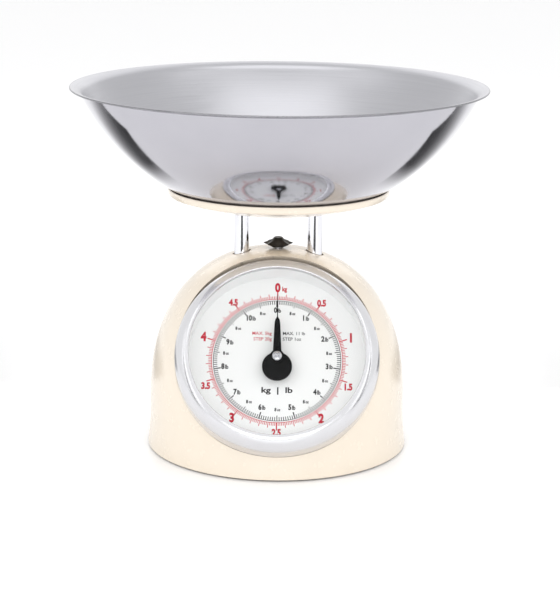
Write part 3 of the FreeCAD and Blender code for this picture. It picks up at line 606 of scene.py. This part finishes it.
def turnedPiece(name, stations, segments=96):
    # a ring is extruded through the stations (radius, height), and closed at a pole or joined up
    clearSelection()
    first = next(station for station in stations if station[0] > 0)
    start = stations.index(first)
    bpy.ops.mesh.primitive_circle_add(vertices=segments, radius=first[0], location=(0, 0, 0))
    piece = bpy.context.object
    piece.name = name
    bpy.ops.object.mode_set(mode="EDIT")
    bpy.ops.mesh.select_all(action="SELECT")
    bpy.ops.transform.translate(value=(0, 0, first[1]))
    if start > 0:
        closePole(stations[start - 1][1] - first[1])
        bpy.ops.mesh.select_all(action="DESELECT")
        selectRing(piece, first)
    last = first
    for radius, height in stations[start + 1:]:
        if radius == 0:
            closePole(height - last[1])
            break
        bpy.ops.mesh.extrude_edges_move(TRANSFORM_OT_translate={"value": (0, 0, height - last[1])})
        share = radius / last[0]
        bpy.ops.transform.resize(value=(share, share, 1), center_override=(0, 0, height))
        last = (radius, height)
    bpy.ops.object.mode_set(mode="OBJECT")
    outward(piece)
    return piece


def closePole(rise):
    bpy.ops.mesh.extrude_edges_move(TRANSFORM_OT_translate={"value": (0, 0, rise)})
    bpy.ops.mesh.merge(type="CENTER")


def selectRing(piece, station):
    bpy.ops.object.mode_set(mode="OBJECT")
    for vertex in piece.data.vertices:
        far = math.hypot(vertex.co.x, vertex.co.y)
        vertex.select = max(abs(far - station[0]), abs(vertex.co.z - station[1])) < sameSpot
    for edge in piece.data.edges:
        edge.select = all(piece.data.vertices[i].select for i in edge.vertices)
    bpy.ops.object.mode_set(mode="EDIT")


def arcStations(centre, radius, fromAngle, toAngle, steps):
    # stations along a circular arc in the (radius, height) plane, angles in degrees
    for i in range(steps + 1):
        angle = math.radians(fromAngle + (toAngle - fromAngle) * i / steps)
        yield centre[0] + radius * math.cos(angle), centre[1] + radius * math.sin(angle)


def joined(pieces, name):
    clearSelection()
    for piece in pieces:
        piece.select_set(True)
    bpy.context.view_layer.objects.active = pieces[0]
    bpy.ops.object.join()
    pieces[0].name = name
    return pieces[0]


def copyOf(piece):
    twin = piece.copy()
    twin.data = piece.data.copy()
    bpy.context.scene.collection.objects.link(twin)
    return twin


bowl = {
    "arcRadius": 133.5 * mm,    # of the outside
    "arcAside": -1.4 * mm,      # the arc's centre, off the axis
    "arcHeight": 276.2 * mm,
    "wall": 0.9 * mm,
    "wallTop": 219.3 * mm,
    "lipBead": 0.55 * mm,
    "lipRun": 1.6 * mm,         # flat of the lip beside the bead
    "footEase": 1.2 * mm,       # the flat bottom's last ring, inside its edge
    "wallEnd": 0.9 * mm,        # the inside's wall ends this far under wallTop
    # the inside's bend into the lip: out and up from the top of the wall
    "bend": ((2.6 * mm, 0.95 * mm), (1.5 * mm, 0.40 * mm), (0.6 * mm, -0.2 * mm)),
    "segments": 160,
    "rings": 26,
}


def bowlRadius(height, inset=0.0):
    far = bowl["arcRadius"] - inset
    return bowl["arcAside"] + math.sqrt(far ** 2 - (bowl["arcHeight"] - height) ** 2)


def makeBowl():
    low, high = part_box("bowl")
    wall = bowl["wall"]
    bead = bowl["lipBead"]
    wallTop = bowl["wallTop"]
    bottom, top = low.z, high.z
    floor = bottom + wall
    outside = []
    inside = []
    for i in range(bowl["rings"] + 1):
        share = i / bowl["rings"]
        height = bottom + (wallTop - bottom) * share
        outside.append((bowlRadius(height), height))
        height = floor + (wallTop + wall * 0.5 - floor) * share
        inside.append((bowlRadius(height, wall), height))
    flat, flatInside = outside[0][0], inside[0][0]
    edge, lift = reach("bowl") - bead, top - bead
    stations = [(0, bottom), (flat * 0.5, bottom), (flat - bowl["footEase"], bottom)]
    stations += outside
    # the lip turns out through a small bend and ends in a rolled bead
    stations.append((outside[-1][0] + 1.0 * mm, wallTop + 0.25 * mm))
    stations.append((edge - bowl["lipRun"], lift - bead * 0.9))
    stations += list(arcStations((edge, lift), bead, -90, 90, 8))
    stations.append((edge - bowl["lipRun"], top - 0.35 * mm))
    farTop, highTop = inside.pop()
    stations += [(farTop + out, highTop + up) for out, up in bowl["bend"]]
    end = wallTop - bowl["wallEnd"]
    stations.append((bowlRadius(end, wall) + 0.05 * mm, end))
    stations += reversed(inside)
    stations += [(flatInside - bowl["footEase"], floor), (flatInside * 0.5, floor), (0, floor)]
    piece = turnedPiece("steelBowl", stations, bowl["segments"])
    paint(piece, "stainless", "stainlessInside", "stainlessEdge")
    for face in piece.data.polygons:
        far = math.hypot(face.center.x, face.center.y)
        facesUp = face.normal.z > 0.05
        onBead = far > edge - 0.2 * mm
        face.material_index = 2 if onBead else (1 if facesUp else 0)
    smooth(piece, 40)
    settle(piece, "bowl", "stainless", "bowl")


makeBowl()
print("bowl done")


platform = {
    "rimRound": 0.6 * mm,
    "sideDrop": 3.2 * mm,      # the straight side under the rim
    "underFlat": 42.0 * mm,
    "swell": 0.3 * mm,         # of the underside between flat and side
    "gap": 0.3 * mm,           # between the dish and the bowl in it
    "dishFlat": 35.0 * mm,
    "rings": 10,
    "segments": 128,
}


def makePlatform():
    low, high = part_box("platform")
    outer = reach("platform")
    top = high.z
    roundEdge = platform["rimRound"]
    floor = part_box("bowl")[0].z
    flat = platform["underFlat"]
    sideFoot = top - platform["sideDrop"]
    rings = platform["rings"]
    stations = [(0, low.z), (flat * 0.5, low.z), (flat - 1.0 * mm, low.z)]
    # the underside swells gently up to the side
    fromZ = low.z + 0.05 * mm
    toRadius, toZ = outer - 1.0 * mm, sideFoot - 1.0 * mm
    for i in range(rings + 1):
        share = i / rings
        swell = platform["swell"] * math.sin(math.pi * share)
        stations.append((flat + (toRadius - flat) * share, fromZ + (toZ - fromZ) * share - swell))
    stations += [(outer - 0.35 * mm, sideFoot), (outer - 0.05 * mm, top - 1.4 * mm)]
    rim = top - roundEdge
    stations += list(arcStations((outer - roundEdge, rim), roundEdge, 0, 180, 8))
    inner = bowlRadius(rim, -platform["gap"])
    stations[-1] = (max(inner, outer - 2 * roundEdge - 0.1 * mm), rim)
    for i in range(1, rings + 1):
        height = rim - (rim - floor) * i / rings
        stations.append((bowlRadius(height, -platform["gap"]), height))
    stations += [(platform["dishFlat"], floor), (0, floor)]
    piece = turnedPiece("creamPlatform", stations, platform["segments"])
    paint(piece, "cream_enamel")
    smooth(piece, 40)
    settle(piece, "carrier", "cream_enamel", "platform")


makePlatform()
print("platform done")


housing = {
    "radius": 78.3 * mm,
    "flare": 1.9 * mm,
    "flareHeight": 24.0 * mm,
    "shoulder": 30.8 * mm,
    "power": 2.26,
    "wall": 1.6 * mm,
    "edgeRound": 0.25 * mm,
    "postHole": 5.6 * mm,
    "postOffset": 22.2 * mm,
    "stemHole": 3.0 * mm,
    "openingGap": 0.12 * mm,
    "collar": 1.6 * mm,         # wall round the bezel
    "flangeBack": 2.3 * mm,     # behind the dial plate's face
    "flangeThick": 1.5 * mm,
    "flangeWide": 7.0 * mm,
    "flangeBore": 6.0 * mm,     # the cut through the flange starts this far behind the dial
    "cutDepth": 90 * mm,
    "holeDepth": 60 * mm,
    "postLevel": 100 * mm,      # middle heights of the cuts for the posts and the stem
    "stemLevel": 120 * mm,
    "footRound": 0.5 * mm,
    "flareSteps": 8,
    "domeSteps": 40,
    "segments": 192,
}


def domeStations(inset, bottom, top):
    # flare, straight side, then a superellipse up to the apex
    h = housing
    radius = h["radius"] - inset
    rise = top - inset - h["shoulder"]
    stations = []
    for i in range(h["flareSteps"] + 1):
        share = i / h["flareSteps"]
        height = bottom + (h["flareHeight"] - bottom) * share
        stations.append((radius + h["flare"] * (1 - share) ** 2, height))
    for i in range(h["domeSteps"]):
        angle = math.pi / 2 * i / h["domeSteps"]
        far = radius * math.cos(angle) ** (2 / h["power"])
        stations.append((far, h["shoulder"] + rise * math.sin(angle) ** (2 / h["power"])))
    stations.append((0, top - inset))
    return stations


def cutter(radius, depth, matrix):
    clearSelection()
    bpy.ops.mesh.primitive_cylinder_add(vertices=160, radius=radius, depth=depth, location=(0, 0, 0))
    piece = bpy.context.object
    piece.matrix_world = matrix
    applyPlace(piece)
    return piece


def combine(piece, other, operation):
    modifier = piece.modifiers.new("combine", "BOOLEAN")
    modifier.operation = operation
    modifier.solver = "EXACT"
    modifier.object = other
    applyModifiers(piece)
    bpy.data.objects.remove(other)


def cutAway(piece, other):
    combine(piece, other, "DIFFERENCE")


def dialCutter(radius, start):
    # a cylinder along the dial's axis, from start outwards
    depth = housing["cutDepth"]
    return cutter(radius, depth, dialMatrix @ Matrix.Translation((0, 0, start + depth / 2)))


def holeCutter(radius, x, height):
    # an upright cylinder about this height
    return cutter(radius, housing["holeDepth"], Matrix.Translation((x, 0, height)))


def makeHousing():
    h = housing
    low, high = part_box("housing")
    outer = domeStations(0, low.z, high.z)
    inner = domeStations(h["wall"], low.z, high.z)
    foot, below = outer[0][0], low.z - 5 * mm
    ease = 0.12 * mm
    start = [(0, low.z), (foot - h["footRound"], low.z), (foot - ease, low.z + ease)]
    shell = turnedPiece("creamHousing", start + outer[1:], h["segments"])
    hollow = turnedPiece("hollow", [(0, below), (inner[0][0], below)] + inner, 160)
    # the hollow keeps clear of the collar that the bezel sits in
    opening = reach("bezel") + h["openingGap"]
    cutAway(hollow, dialCutter(opening + h["collar"], -h["flangeBack"]))
    cutAway(shell, hollow)
    cutAway(shell, dialCutter(opening, h["flangeThick"] - h["flangeBack"]))
    cutAway(shell, dialCutter(opening - h["flangeWide"], -h["flangeBore"]))
    for side in (-1, 1):
        cutAway(shell, holeCutter(h["postHole"], side * h["postOffset"], h["postLevel"]))
    cutAway(shell, holeCutter(h["stemHole"], 0, h["stemLevel"]))
    bevelEdges(shell, h["edgeRound"], 2, 40)
    paint(shell, "cream_enamel")
    smooth(shell, 40)
    settle(shell, "base", "cream_enamel", "housing")


makeHousing()
print("housing done")


bezel = {
    "window": 52.2 * mm,
    "front": 19.0 * mm,
    "shoulder": 7.0 * mm,
    "lip": 1.3 * mm,
    "lensGap": 0.15 * mm,
    "sideSteps": 16,
    "lipSteps": 5,
    "segments": 192,
}


def makeBezel():
    b = bezel
    low, _, outer = dialSpan("bezel")
    inner, front, shoulder = b["window"], b["front"], b["shoulder"]
    roundEdge = b["lip"] / 2
    bore = dialSpan("lens")[2] + b["lensGap"]
    chamfer = 0.4 * mm
    stations = [(bore, low), (outer - chamfer, low), (outer, low + chamfer), (outer, shoulder)]
    wide = outer - inner - roundEdge
    tall = front - shoulder
    # a quarter ellipse from the side to the lip, then the lip's own round
    for i in range(1, b["sideSteps"] + 1):
        angle = math.pi / 2 * i / b["sideSteps"]
        stations.append((inner + roundEdge + wide * math.cos(angle), shoulder + tall * math.sin(angle)))
    for i in range(1, b["lipSteps"] + 1):
        angle = math.pi / 2 * i / b["lipSteps"]
        height = front - roundEdge + roundEdge * math.cos(angle)
        stations.append((inner + roundEdge - roundEdge * math.sin(angle), height))
    stations += [(inner, front - b["lip"]), (bore, front - b["lip"]), (bore, low)]
    piece = turnedPiece("silverBezel", stations, b["segments"])
    toDial(piece)
    paint(piece, "satin_silver")
    smooth(piece, 40)
    settle(piece, "base", "satin_silver", "bezel")


def makeLensPiece():
    low, high, outer = dialSpan("lens")
    chamfer = 0.3 * mm
    stations = [(0, low), (outer * 0.5, low), (outer - chamfer, low), (outer, low + chamfer)]
    stations += [(outer, high - chamfer), (outer - chamfer, high), (outer * 0.5, high), (0, high)]
    piece = turnedPiece("clearLens", stations, 128)
    toDial(piece)
    paint(piece, "clear_cover")
    smooth(piece, 40)
    settle(piece, "base", "clear_cover", "lens")


def makeSpacer():
    low, high, outer = dialSpan("dial_spacer")
    inner = outer - 2.0 * mm
    # the wall narrows a little towards the lens, with a fine groove at the foot
    lip, groove = 0.5 * mm, 0.35 * mm
    stations = [(inner, low), (outer, low), (outer, high), (inner - lip, high)]
    stations += [(inner - lip, high - 0.6 * mm), (inner - 0.1 * mm, low + 1.4 * mm)]
    stations += [(inner + groove, low + 0.9 * mm), (inner + groove, low + 0.3 * mm), (inner, low)]
    piece = turnedPiece("dialSpacer", stations, 160)
    toDial(piece)
    paint(piece, "grey_plastic")
    smooth(piece, 35)
    settle(piece, "base", "grey_plastic", "dial_spacer")


def makeDialPlate():
    low, high, outer = dialSpan("dial_plate")
    hole = 3.0 * mm
    chamfer, holeChamfer = 0.2 * mm, 0.15 * mm
    stations = [(hole, low), (outer - chamfer, low), (outer, low + chamfer), (outer, high - chamfer)]
    stations += [(outer - chamfer, high), (hole + holeChamfer, high), (hole, high - holeChamfer), (hole, low)]
    piece = turnedPiece("dialPlate", stations, 160)
    toDial(piece)
    paint(piece, "dial_white")
    smooth(piece, 35)
    settle(piece, "base", "dial_white", "dial_plate")


makeBezel()
makeLensPiece()
makeSpacer()
makeDialPlate()
print("bezel, lens and dial plate done")


dialPrint = {
    "lift": 0.03 * mm,          # ink stands this far off the plate
    "thick": 0.04 * mm,
    "kgRing": 38.9 * mm,
    "kgCount": 250,             # one line for 20 g
    "kgGroups": (5, 25),        # 100 g, 500 g
    "kgTicks": (2.1 * mm, 3.6 * mm, 5.0 * mm),
    "kgWidths": (0.40 * mm, 0.44 * mm, 0.70 * mm),
    "kgLabel": 46.4 * mm,
    "lbRing": 37.9 * mm,
    "lbGroups": (8, 16),        # half a pound, a pound; one line for an ounce
    "lbTicks": (2.2 * mm, 3.2 * mm, 4.0 * mm),
    "lbWidths": (0.46 * mm, 0.50 * mm, 0.70 * mm),
    "lbLabel": 31.4 * mm,
    "ringLine": 0.32 * mm,
    "ouncesPerTurn": 5000 / 28.349523,
    "big": 7.7 * mm,
    "small": 5.5 * mm,
    "unit": 4.0 * mm,
    "narrow": 0.80,
    "weight": 0.052,            # share of its size that a kg number is thickened by
    "lines": (17.0 * mm, 13.4 * mm),        # heights of the two short lines
    "lineSize": 2.9 * mm,
    "lineWeight": 0.03 * mm,
    # labels that stand off their tick's line: number, sideways and up
    "kgAside": {
        3: (-0.9 * mm, -2.7 * mm),
        4: (-0.9 * mm, 1.0 * mm),
        6: (0.9 * mm, 1.0 * mm),
        7: (0.9 * mm, -2.7 * mm),
    },
    "lbAside": {9: (0.4 * mm, -2.0 * mm), 10: (2.2 * mm, 0.0)},
}


def addTick(ring, length, width):
    # a flat bar that starts on the ring and points outwards, or inwards if length is negative
    bpy.ops.mesh.primitive_plane_add(size=1, location=(0, ring + length / 2, 0))
    bar = bpy.context.object
    bar.scale = (width, abs(length), 1)
    applyPlace(bar)
    return bar


def tickKind(i, groups):
    # 0 for a short line, 1 for a middle one, 2 for a long one
    middle, long = groups
    return 2 if i % long == 0 else (1 if i % middle == 0 else 0)


def tickMesh(unit, step, count, sign):
    # one bar per kind is modelled, and copied round the dial
    p = dialPrint
    sizes = zip(p[unit + "Ticks"], p[unit + "Widths"])
    masters = [addTick(p[unit + "Ring"], sign * length, width) for length, width in sizes]
    bars = []
    for i in range(count):
        bar = copyOf(masters[tickKind(i, p[unit + "Groups"])])
        bar.rotation_euler = (0, 0, -step * i)
        bars.append(bar)
    for master in masters:
        bpy.data.objects.remove(master)
    piece = joined(bars, unit + "Ticks")
    applyPlace(piece)
    return piece


def addRing(radius, width):
    clearSelection()
    bpy.ops.mesh.primitive_circle_add(vertices=192, radius=radius, fill_type="NOTHING")
    ring = bpy.context.object
    bpy.ops.object.mode_set(mode="EDIT")
    bpy.ops.mesh.select_all(action="SELECT")
    bpy.ops.mesh.extrude_edges_move(TRANSFORM_OT_translate={"value": (0, 0, 0)})
    share = (radius + width) / radius
    bpy.ops.transform.resize(value=(share, share, 1), center_override=(0, 0, 0))
    bpy.ops.object.mode_set(mode="OBJECT")
    return ring


def addText(text, size, x, y, weight=0.0, align="CENTER", narrow=None):
    clearSelection()
    bpy.ops.object.text_add(location=(0, 0, 0))
    letters = bpy.context.object
    letters.data.body = text
    letters.data.size = size
    letters.data.align_x = align
    letters.data.align_y = "CENTER"
    letters.data.offset = weight
    letters.data.resolution_u = 3
    letters.data.fill_mode = "FRONT"
    choose(letters)
    bpy.ops.object.convert(target="MESH")
    letters.scale = (narrow or dialPrint["narrow"], 1, 1)
    letters.location = (x, y, 0)
    applyPlace(letters)
    return letters


def around(radius, turn):
    return radius * math.sin(turn), radius * math.cos(turn)


def finishInk(pieces, name, inkName):
    ink = joined(pieces, name)
    ink.location = (0, 0, dialPrint["lift"])
    applyPlace(ink)
    toDial(ink)
    modifier = ink.modifiers.new("thick", "SOLIDIFY")
    modifier.thickness = dialPrint["thick"]
    modifier.offset = -1
    applyModifiers(ink)
    paint(ink, inkName)
    settle(ink, "base", "dial_white")


def addLines(first, second, x, align):
    # the two short lines beside the pointer
    p = dialPrint
    high, low = p["lines"]
    return [addText(text, p["lineSize"], x, y, p["lineWeight"], align, 1.0)
            for text, y in ((first, high), (second, low))]


def makeKgPrint():
    p = dialPrint
    turn = 2 * math.pi
    parts = [tickMesh("kg", turn / p["kgCount"], p["kgCount"], 1)]
    parts.append(addRing(p["kgRing"], p["ringLine"]))
    for i in range(10):
        whole = i % 2 == 0
        size = p["big"] if whole else p["small"]
        x, y = around(p["kgLabel"] - (p["big"] - size) / 2, turn * i / 10)
        right, up = p["kgAside"].get(i, (0, 0))
        text = str(i // 2) if whole else f"{i / 2:.1f}"
        parts.append(addText(text, size, x + right, y + up, size * p["weight"]))
    parts.append(addText("kg", p["unit"], 4.1 * mm, p["kgLabel"] - 0.7 * mm, p["unit"] * 0.04))
    parts += addLines("MAX. 5kg", "STEP 20g", -3.4 * mm, "RIGHT")
    finishInk(parts, "printRed", "inkRed")


def makeLbPrint():
    p = dialPrint
    ounce = 2 * math.pi / p["ouncesPerTurn"]
    half, whole = p["lbGroups"]
    count = int(p["ouncesPerTurn"]) + 1
    parts = [tickMesh("lb", ounce, count, -1)]
    parts.append(addRing(p["lbRing"], p["ringLine"]))
    for pound in range(count // whole):
        x, y = around(p["lbLabel"], ounce * whole * pound)
        right, up = p["lbAside"].get(pound, (0, 0))
        x, y = x + right - 0.3 * mm, y + up + 0.5 * mm
        parts.append(addText(str(pound), 4.6 * mm, x, y, 0.22 * mm, "RIGHT"))
        parts.append(addText("lb", 3.6 * mm, x + 0.3 * mm, y - 0.3 * mm, 0.13 * mm, "LEFT"))
        x, y = around(p["lbLabel"] - 0.3 * mm, ounce * (whole * pound + half))
        parts.append(addText("8", 2.8 * mm, x - 0.9 * mm, y, 0.14 * mm))
        parts.append(addText("oz", 2.4 * mm, x + 1.0 * mm, y - 0.1 * mm, 0.09 * mm))
    parts += addLines("MAX. 11 lb", "STEP 1oz", 3.2 * mm, "LEFT")
    parts.append(addText("kg  |  lb", 4.8 * mm, 0, -19.0 * mm, 0.14 * mm, "CENTER", 1.3))
    finishInk(parts, "printBlack", "inkBlack")


makeKgPrint()
makeLbPrint()
print("dial print done")


pointer = {
    "discRadius": 8.9 * mm,
    "discDrop": 5.8 * mm,
    "under": 4.6 * mm,
    "thick": 1.4 * mm,
    "length": 40.0 * mm,
    "neck": 25.4 * mm,
    "tip": 3.9 * mm,
    "baseHalf": 2.7 * mm,
    "topHalf": 1.7 * mm,
    "needleHalf": 0.35 * mm,
    "needleThick": 0.8 * mm,
    "overlap": 2.0 * mm,        # of the needle's foot in the neck
    "hub": 4.2 * mm,
    "hubFoot": 2.2 * mm,
    "hubTop": 7.4 * mm,
    "edgeRound": 0.22 * mm,
    "headRadius": 2.95 * mm,
    "headHeight": 1.5 * mm,
    "headRound": (15, 35, 55, 72, 84),      # degrees up the head's dome
    "shank": 0.85 * mm,
    "shankLength": 3.0 * mm,
    "recessWide": 0.75 * mm,
}


def makePointer():
    p = pointer
    clearSelection()
    middle = p["under"] + p["thick"] / 2
    place = (0, -p["discDrop"], middle)
    bpy.ops.mesh.primitive_cylinder_add(vertices=96, radius=p["discRadius"], depth=p["thick"], location=place)
    disc = bpy.context.object
    # the neck is a short block whose far end is drawn out to the tip and in at each step
    block = 0.6 * mm
    bpy.ops.mesh.primitive_cube_add(size=1, location=(0, 0, middle))
    neck = bpy.context.object
    neck.scale = (2 * p["baseHalf"], block, p["thick"])
    applyPlace(neck)
    bpy.ops.object.mode_set(mode="EDIT")
    shoulder = p["neck"] - p["tip"]
    widths = [(shoulder, p["topHalf"]), (shoulder + p["tip"] * 0.45, p["topHalf"] * 0.86),
              (shoulder + p["tip"] * 0.8, p["topHalf"] * 0.5), (p["neck"], p["needleHalf"])]
    last, lastHalf = block / 2, p["baseHalf"]
    selectFar(neck, last)
    for y, half in widths:
        bpy.ops.mesh.extrude_region_move(TRANSFORM_OT_translate={"value": (0, y - last, 0)})
        bpy.ops.transform.resize(value=(half / lastHalf, 1, 1), center_override=(0, y, 0))
        last, lastHalf = y, half
    bpy.ops.object.mode_set(mode="OBJECT")
    clearSelection()
    length = p["length"] - p["neck"] + p["overlap"]
    level = p["under"] + 0.45 * mm
    bpy.ops.mesh.primitive_cube_add(size=1, location=(0, p["length"] - length / 2, level))
    needle = bpy.context.object
    needle.scale = (2 * p["needleHalf"], length, p["needleThick"])
    applyPlace(needle)
    bpy.ops.object.mode_set(mode="EDIT")
    selectFar(needle, p["length"])
    bpy.ops.transform.resize(value=(0.5, 1, 0.7), center_override=(0, p["length"], level))
    bpy.ops.object.mode_set(mode="OBJECT")
    tall = p["hubTop"] - p["hubFoot"]
    clearSelection()
    place = (0, 0, p["hubFoot"] + tall / 2)
    bpy.ops.mesh.primitive_cylinder_add(vertices=64, radius=p["hub"], depth=tall, location=place)
    hub = bpy.context.object
    combine(disc, neck, "UNION")
    combine(disc, needle, "UNION")
    combine(disc, hub, "UNION")
    disc.name = "blackPointer"
    bevelEdges(disc, p["edgeRound"], 3, 35)
    toDial(disc)
    paint(disc, "black_paint")
    smooth(disc, 35)
    settle(disc, "pointer", "black_paint", "pointer")


def selectFar(piece, y):
    # selects the end face at y, in edit mode
    bpy.ops.mesh.select_all(action="DESELECT")
    bpy.ops.object.mode_set(mode="OBJECT")
    for face in piece.data.polygons:
        face.select = all(abs(piece.data.vertices[i].co.y - y) < sameSpot for i in face.vertices)
    bpy.ops.object.mode_set(mode="EDIT")
    bpy.ops.mesh.select_mode(type="FACE")


def makePointerScrew():
    p = pointer
    radius, height, top = p["headRadius"], p["headHeight"], p["hubTop"]
    end = top - p["shankLength"]
    side = top + height * 0.35
    stations = [(0, end), (p["shank"], end), (p["shank"], top), (radius, top), (radius, side)]
    for degrees in p["headRound"]:
        angle = math.radians(degrees)
        stations.append((radius * math.cos(angle), side + height * 0.65 * math.sin(angle)))
    stations.append((0, top + height))
    piece = turnedPiece("pointerScrew", stations, 64)
    for turn in (45, 135):
        clearSelection()
        bpy.ops.mesh.primitive_cube_add(size=1, location=(0, 0, top + height * 0.8))
        slot = bpy.context.object
        slot.scale = (radius * 1.25, p["recessWide"], height)
        slot.rotation_euler = (0, 0, math.radians(turn))
        applyPlace(slot)
        cutAway(piece, slot)
    bevelEdges(piece, 0.08 * mm, 2, 40)
    toDial(piece)
    paint(piece, "screw_steel")
    smooth(piece, 35)
    settle(piece, "pointer", "screw_steel", "pointer_screw")


makePointer()
makePointerScrew()
print("pointer done")


knob = {
    "lobes": 8,
    "valley": 0.80,        # share of the rim's radius left between lobes
    "foot": 4.8 * mm,
    "rimLow": 1.7 * mm,
    "rimThick": 0.8 * mm,
    "rimRound": 0.5 * mm,
    "plateau": 2.8 * mm,
    "steps": 7,
    "slope": 1.7,          # how hollow the top runs from rim to plateau
    "segments": 128,
}


def makeKnob():
    low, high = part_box("zero_knob")
    rim = reach("zero_knob")
    k = knob
    rimLow = low.z + k["rimLow"]
    rimTop = rimLow + k["rimThick"]
    tall = high.z - rimTop
    stations = [(0, low.z), (3.0 * mm, low.z), (k["foot"], low.z), (k["foot"] + 0.8 * mm, low.z + 0.6 * mm)]
    flat, inner = k["plateau"], rim - k["rimRound"]
    stations += [(inner, rimLow), (rim, rimLow + k["rimThick"] / 2), (inner, rimTop)]
    for i in range(1, k["steps"] + 1):
        share = i / k["steps"]
        far = flat + (inner - flat) * (1 - share) ** k["slope"]
        stations.append((far, rimTop + tall * 0.94 * share))
    # a shallow dish in the plateau
    stations += [(flat - 0.3 * mm, high.z), (flat - 0.8 * mm, high.z - 0.25 * mm), (0, high.z - 0.3 * mm)]
    piece = turnedPiece("blackKnob", stations, k["segments"])
    # the rings are pulled in between the lobes, most at the rim
    for vertex in piece.data.vertices:
        far = math.hypot(vertex.co.x, vertex.co.y)
        if far > flat:
            turn = math.atan2(vertex.co.y, vertex.co.x)
            wave = abs(math.sin(k["lobes"] * turn / 2)) ** 0.8
            share = (far - flat) / (rim - flat)
            pull = 1 - (1 - k["valley"]) * wave * min(1, share * 1.4)
            vertex.co.x *= pull
            vertex.co.y *= pull
    paint(piece, "black_plastic")
    smooth(piece, 50)
    settle(piece, "zero_knob", "black_plastic", "zero_knob")


makeKnob()
print("knob done")


post = {
    "radius": 4.6 * mm,
    "offset": 22.2 * mm,
    "chamfer": 0.5 * mm,
    "groove": 0.25 * mm,
    "grooveHalf": 0.3 * mm,
    "grooveDrops": (6.0 * mm, 4.8 * mm),    # under the post's top
    "collar": 6.6 * mm,
    "collarRound": 0.9 * mm,
    "collarGap": 0.02 * mm,
    "stud": 2.0 * mm,
    "studChamfer": 0.3 * mm,
    "shoulder": 60.0 * mm,      # height of the post's foot, above its stud
}


def makePosts():
    for name, side in (("left", -1), ("right", 1)):
        low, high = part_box("post_" + name)
        foot, stud, ease = post["shoulder"], post["stud"], post["studChamfer"]
        r, c = post["radius"], post["chamfer"]
        stations = [(0, low.z), (stud - ease, low.z), (stud, low.z + ease)]
        stations += [(stud, foot), (r - c, foot), (r, foot + c)]
        # two shallow grooves just under the platform
        for drop in post["grooveDrops"]:
            z, half = high.z - drop, post["grooveHalf"]
            stations += [(r, z - half), (r - post["groove"], z), (r, z + half)]
        stations += [(r, high.z - c), (r - c, high.z), (0, high.z)]
        piece = turnedPiece("post" + name.capitalize(), stations, 64)
        piece.location = (side * post["offset"], 0, 0)
        applyPlace(piece)
        paint(piece, "chrome")
        smooth(piece, 30)
        settle(piece, "carrier", "chrome", "post_" + name)


def makeCollars():
    low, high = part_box("post_collars")
    inner = post["radius"] + post["collarGap"]
    r, c = post["collar"], post["collarRound"]
    rings = []
    for side in (-1, 1):
        stations = [(inner, low.z), (r - c, low.z)]
        stations += list(arcStations((r - c, low.z + c), c, -80, 0, 5))
        stations += [(r, high.z), (inner, high.z), (inner, low.z)]
        ring = turnedPiece("collar", stations, 64)
        ring.location = (side * post["offset"], 0, 0)
        applyPlace(ring)
        rings.append(ring)
    piece = joined(rings, "postCollars")
    paint(piece, "nylon")
    smooth(piece, 35)
    settle(piece, "carrier", "nylon", "post_collars")


makePosts()
makeCollars()
print("posts done")


spring = {
    "wire": 0.8 * mm,
    "turns": 26,
    "sides": 8,
    "perTurn": 20,
    "coilEnd": 2.4 * mm,        # from the end of the hooks to the coil
    "hook": 1.9 * mm,
    "hookOut": 0.5 * mm,
}


def makeSprings():
    for name in ("left", "right"):
        low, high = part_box("spring_" + name)
        middle = (low.x + high.x) / 2
        thin = spring["wire"] / 2
        place = ((high.x - low.x) / 2 - thin, 0, 0)
        foot, head = low.z + spring["coilEnd"], high.z - spring["coilEnd"]
        upright = (math.radians(90), 0, 0)
        clearSelection()
        bpy.ops.mesh.primitive_circle_add(vertices=spring["sides"], radius=thin,
                                          location=place, rotation=upright)
        coil = bpy.context.object
        applyPlace(coil)
        screw = coil.modifiers.new("screw", "SCREW")
        screw.angle = 2 * math.pi
        screw.iterations = spring["turns"]
        screw.screw_offset = (head - foot) / spring["turns"]
        screw.steps = spring["perTurn"]
        screw.render_steps = spring["perTurn"]
        applyModifiers(coil)
        coil.location = (middle, 0, foot)
        applyPlace(coil)
        capEnds(coil)
        hooks = []
        for z, way in ((foot, -1), (head, 1)):
            clearSelection()
            place = (middle, 0, z + way * spring["hookOut"])
            bpy.ops.mesh.primitive_torus_add(major_radius=spring["hook"], minor_radius=thin,
                                             major_segments=24, minor_segments=8,
                                             location=place, rotation=upright)
            hooks.append(bpy.context.object)
            applyPlace(hooks[-1])
        piece = joined([coil] + hooks, "spring" + name.capitalize())
        paint(piece, "spring_steel")
        smooth(piece, 60)
        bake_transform(piece)
        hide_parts("spring_" + name)


def capEnds(piece):
    choose(piece)
    bpy.ops.object.mode_set(mode="EDIT")
    bpy.ops.mesh.select_all(action="DESELECT")
    bpy.ops.mesh.select_mode(type="EDGE")
    bpy.ops.mesh.select_non_manifold()
    bpy.ops.mesh.edge_face_add()
    bpy.ops.mesh.select_all(action="SELECT")
    bpy.ops.mesh.normals_make_consistent(inside=False)
    bpy.ops.object.mode_set(mode="OBJECT")


makeSprings()
print("springs done")
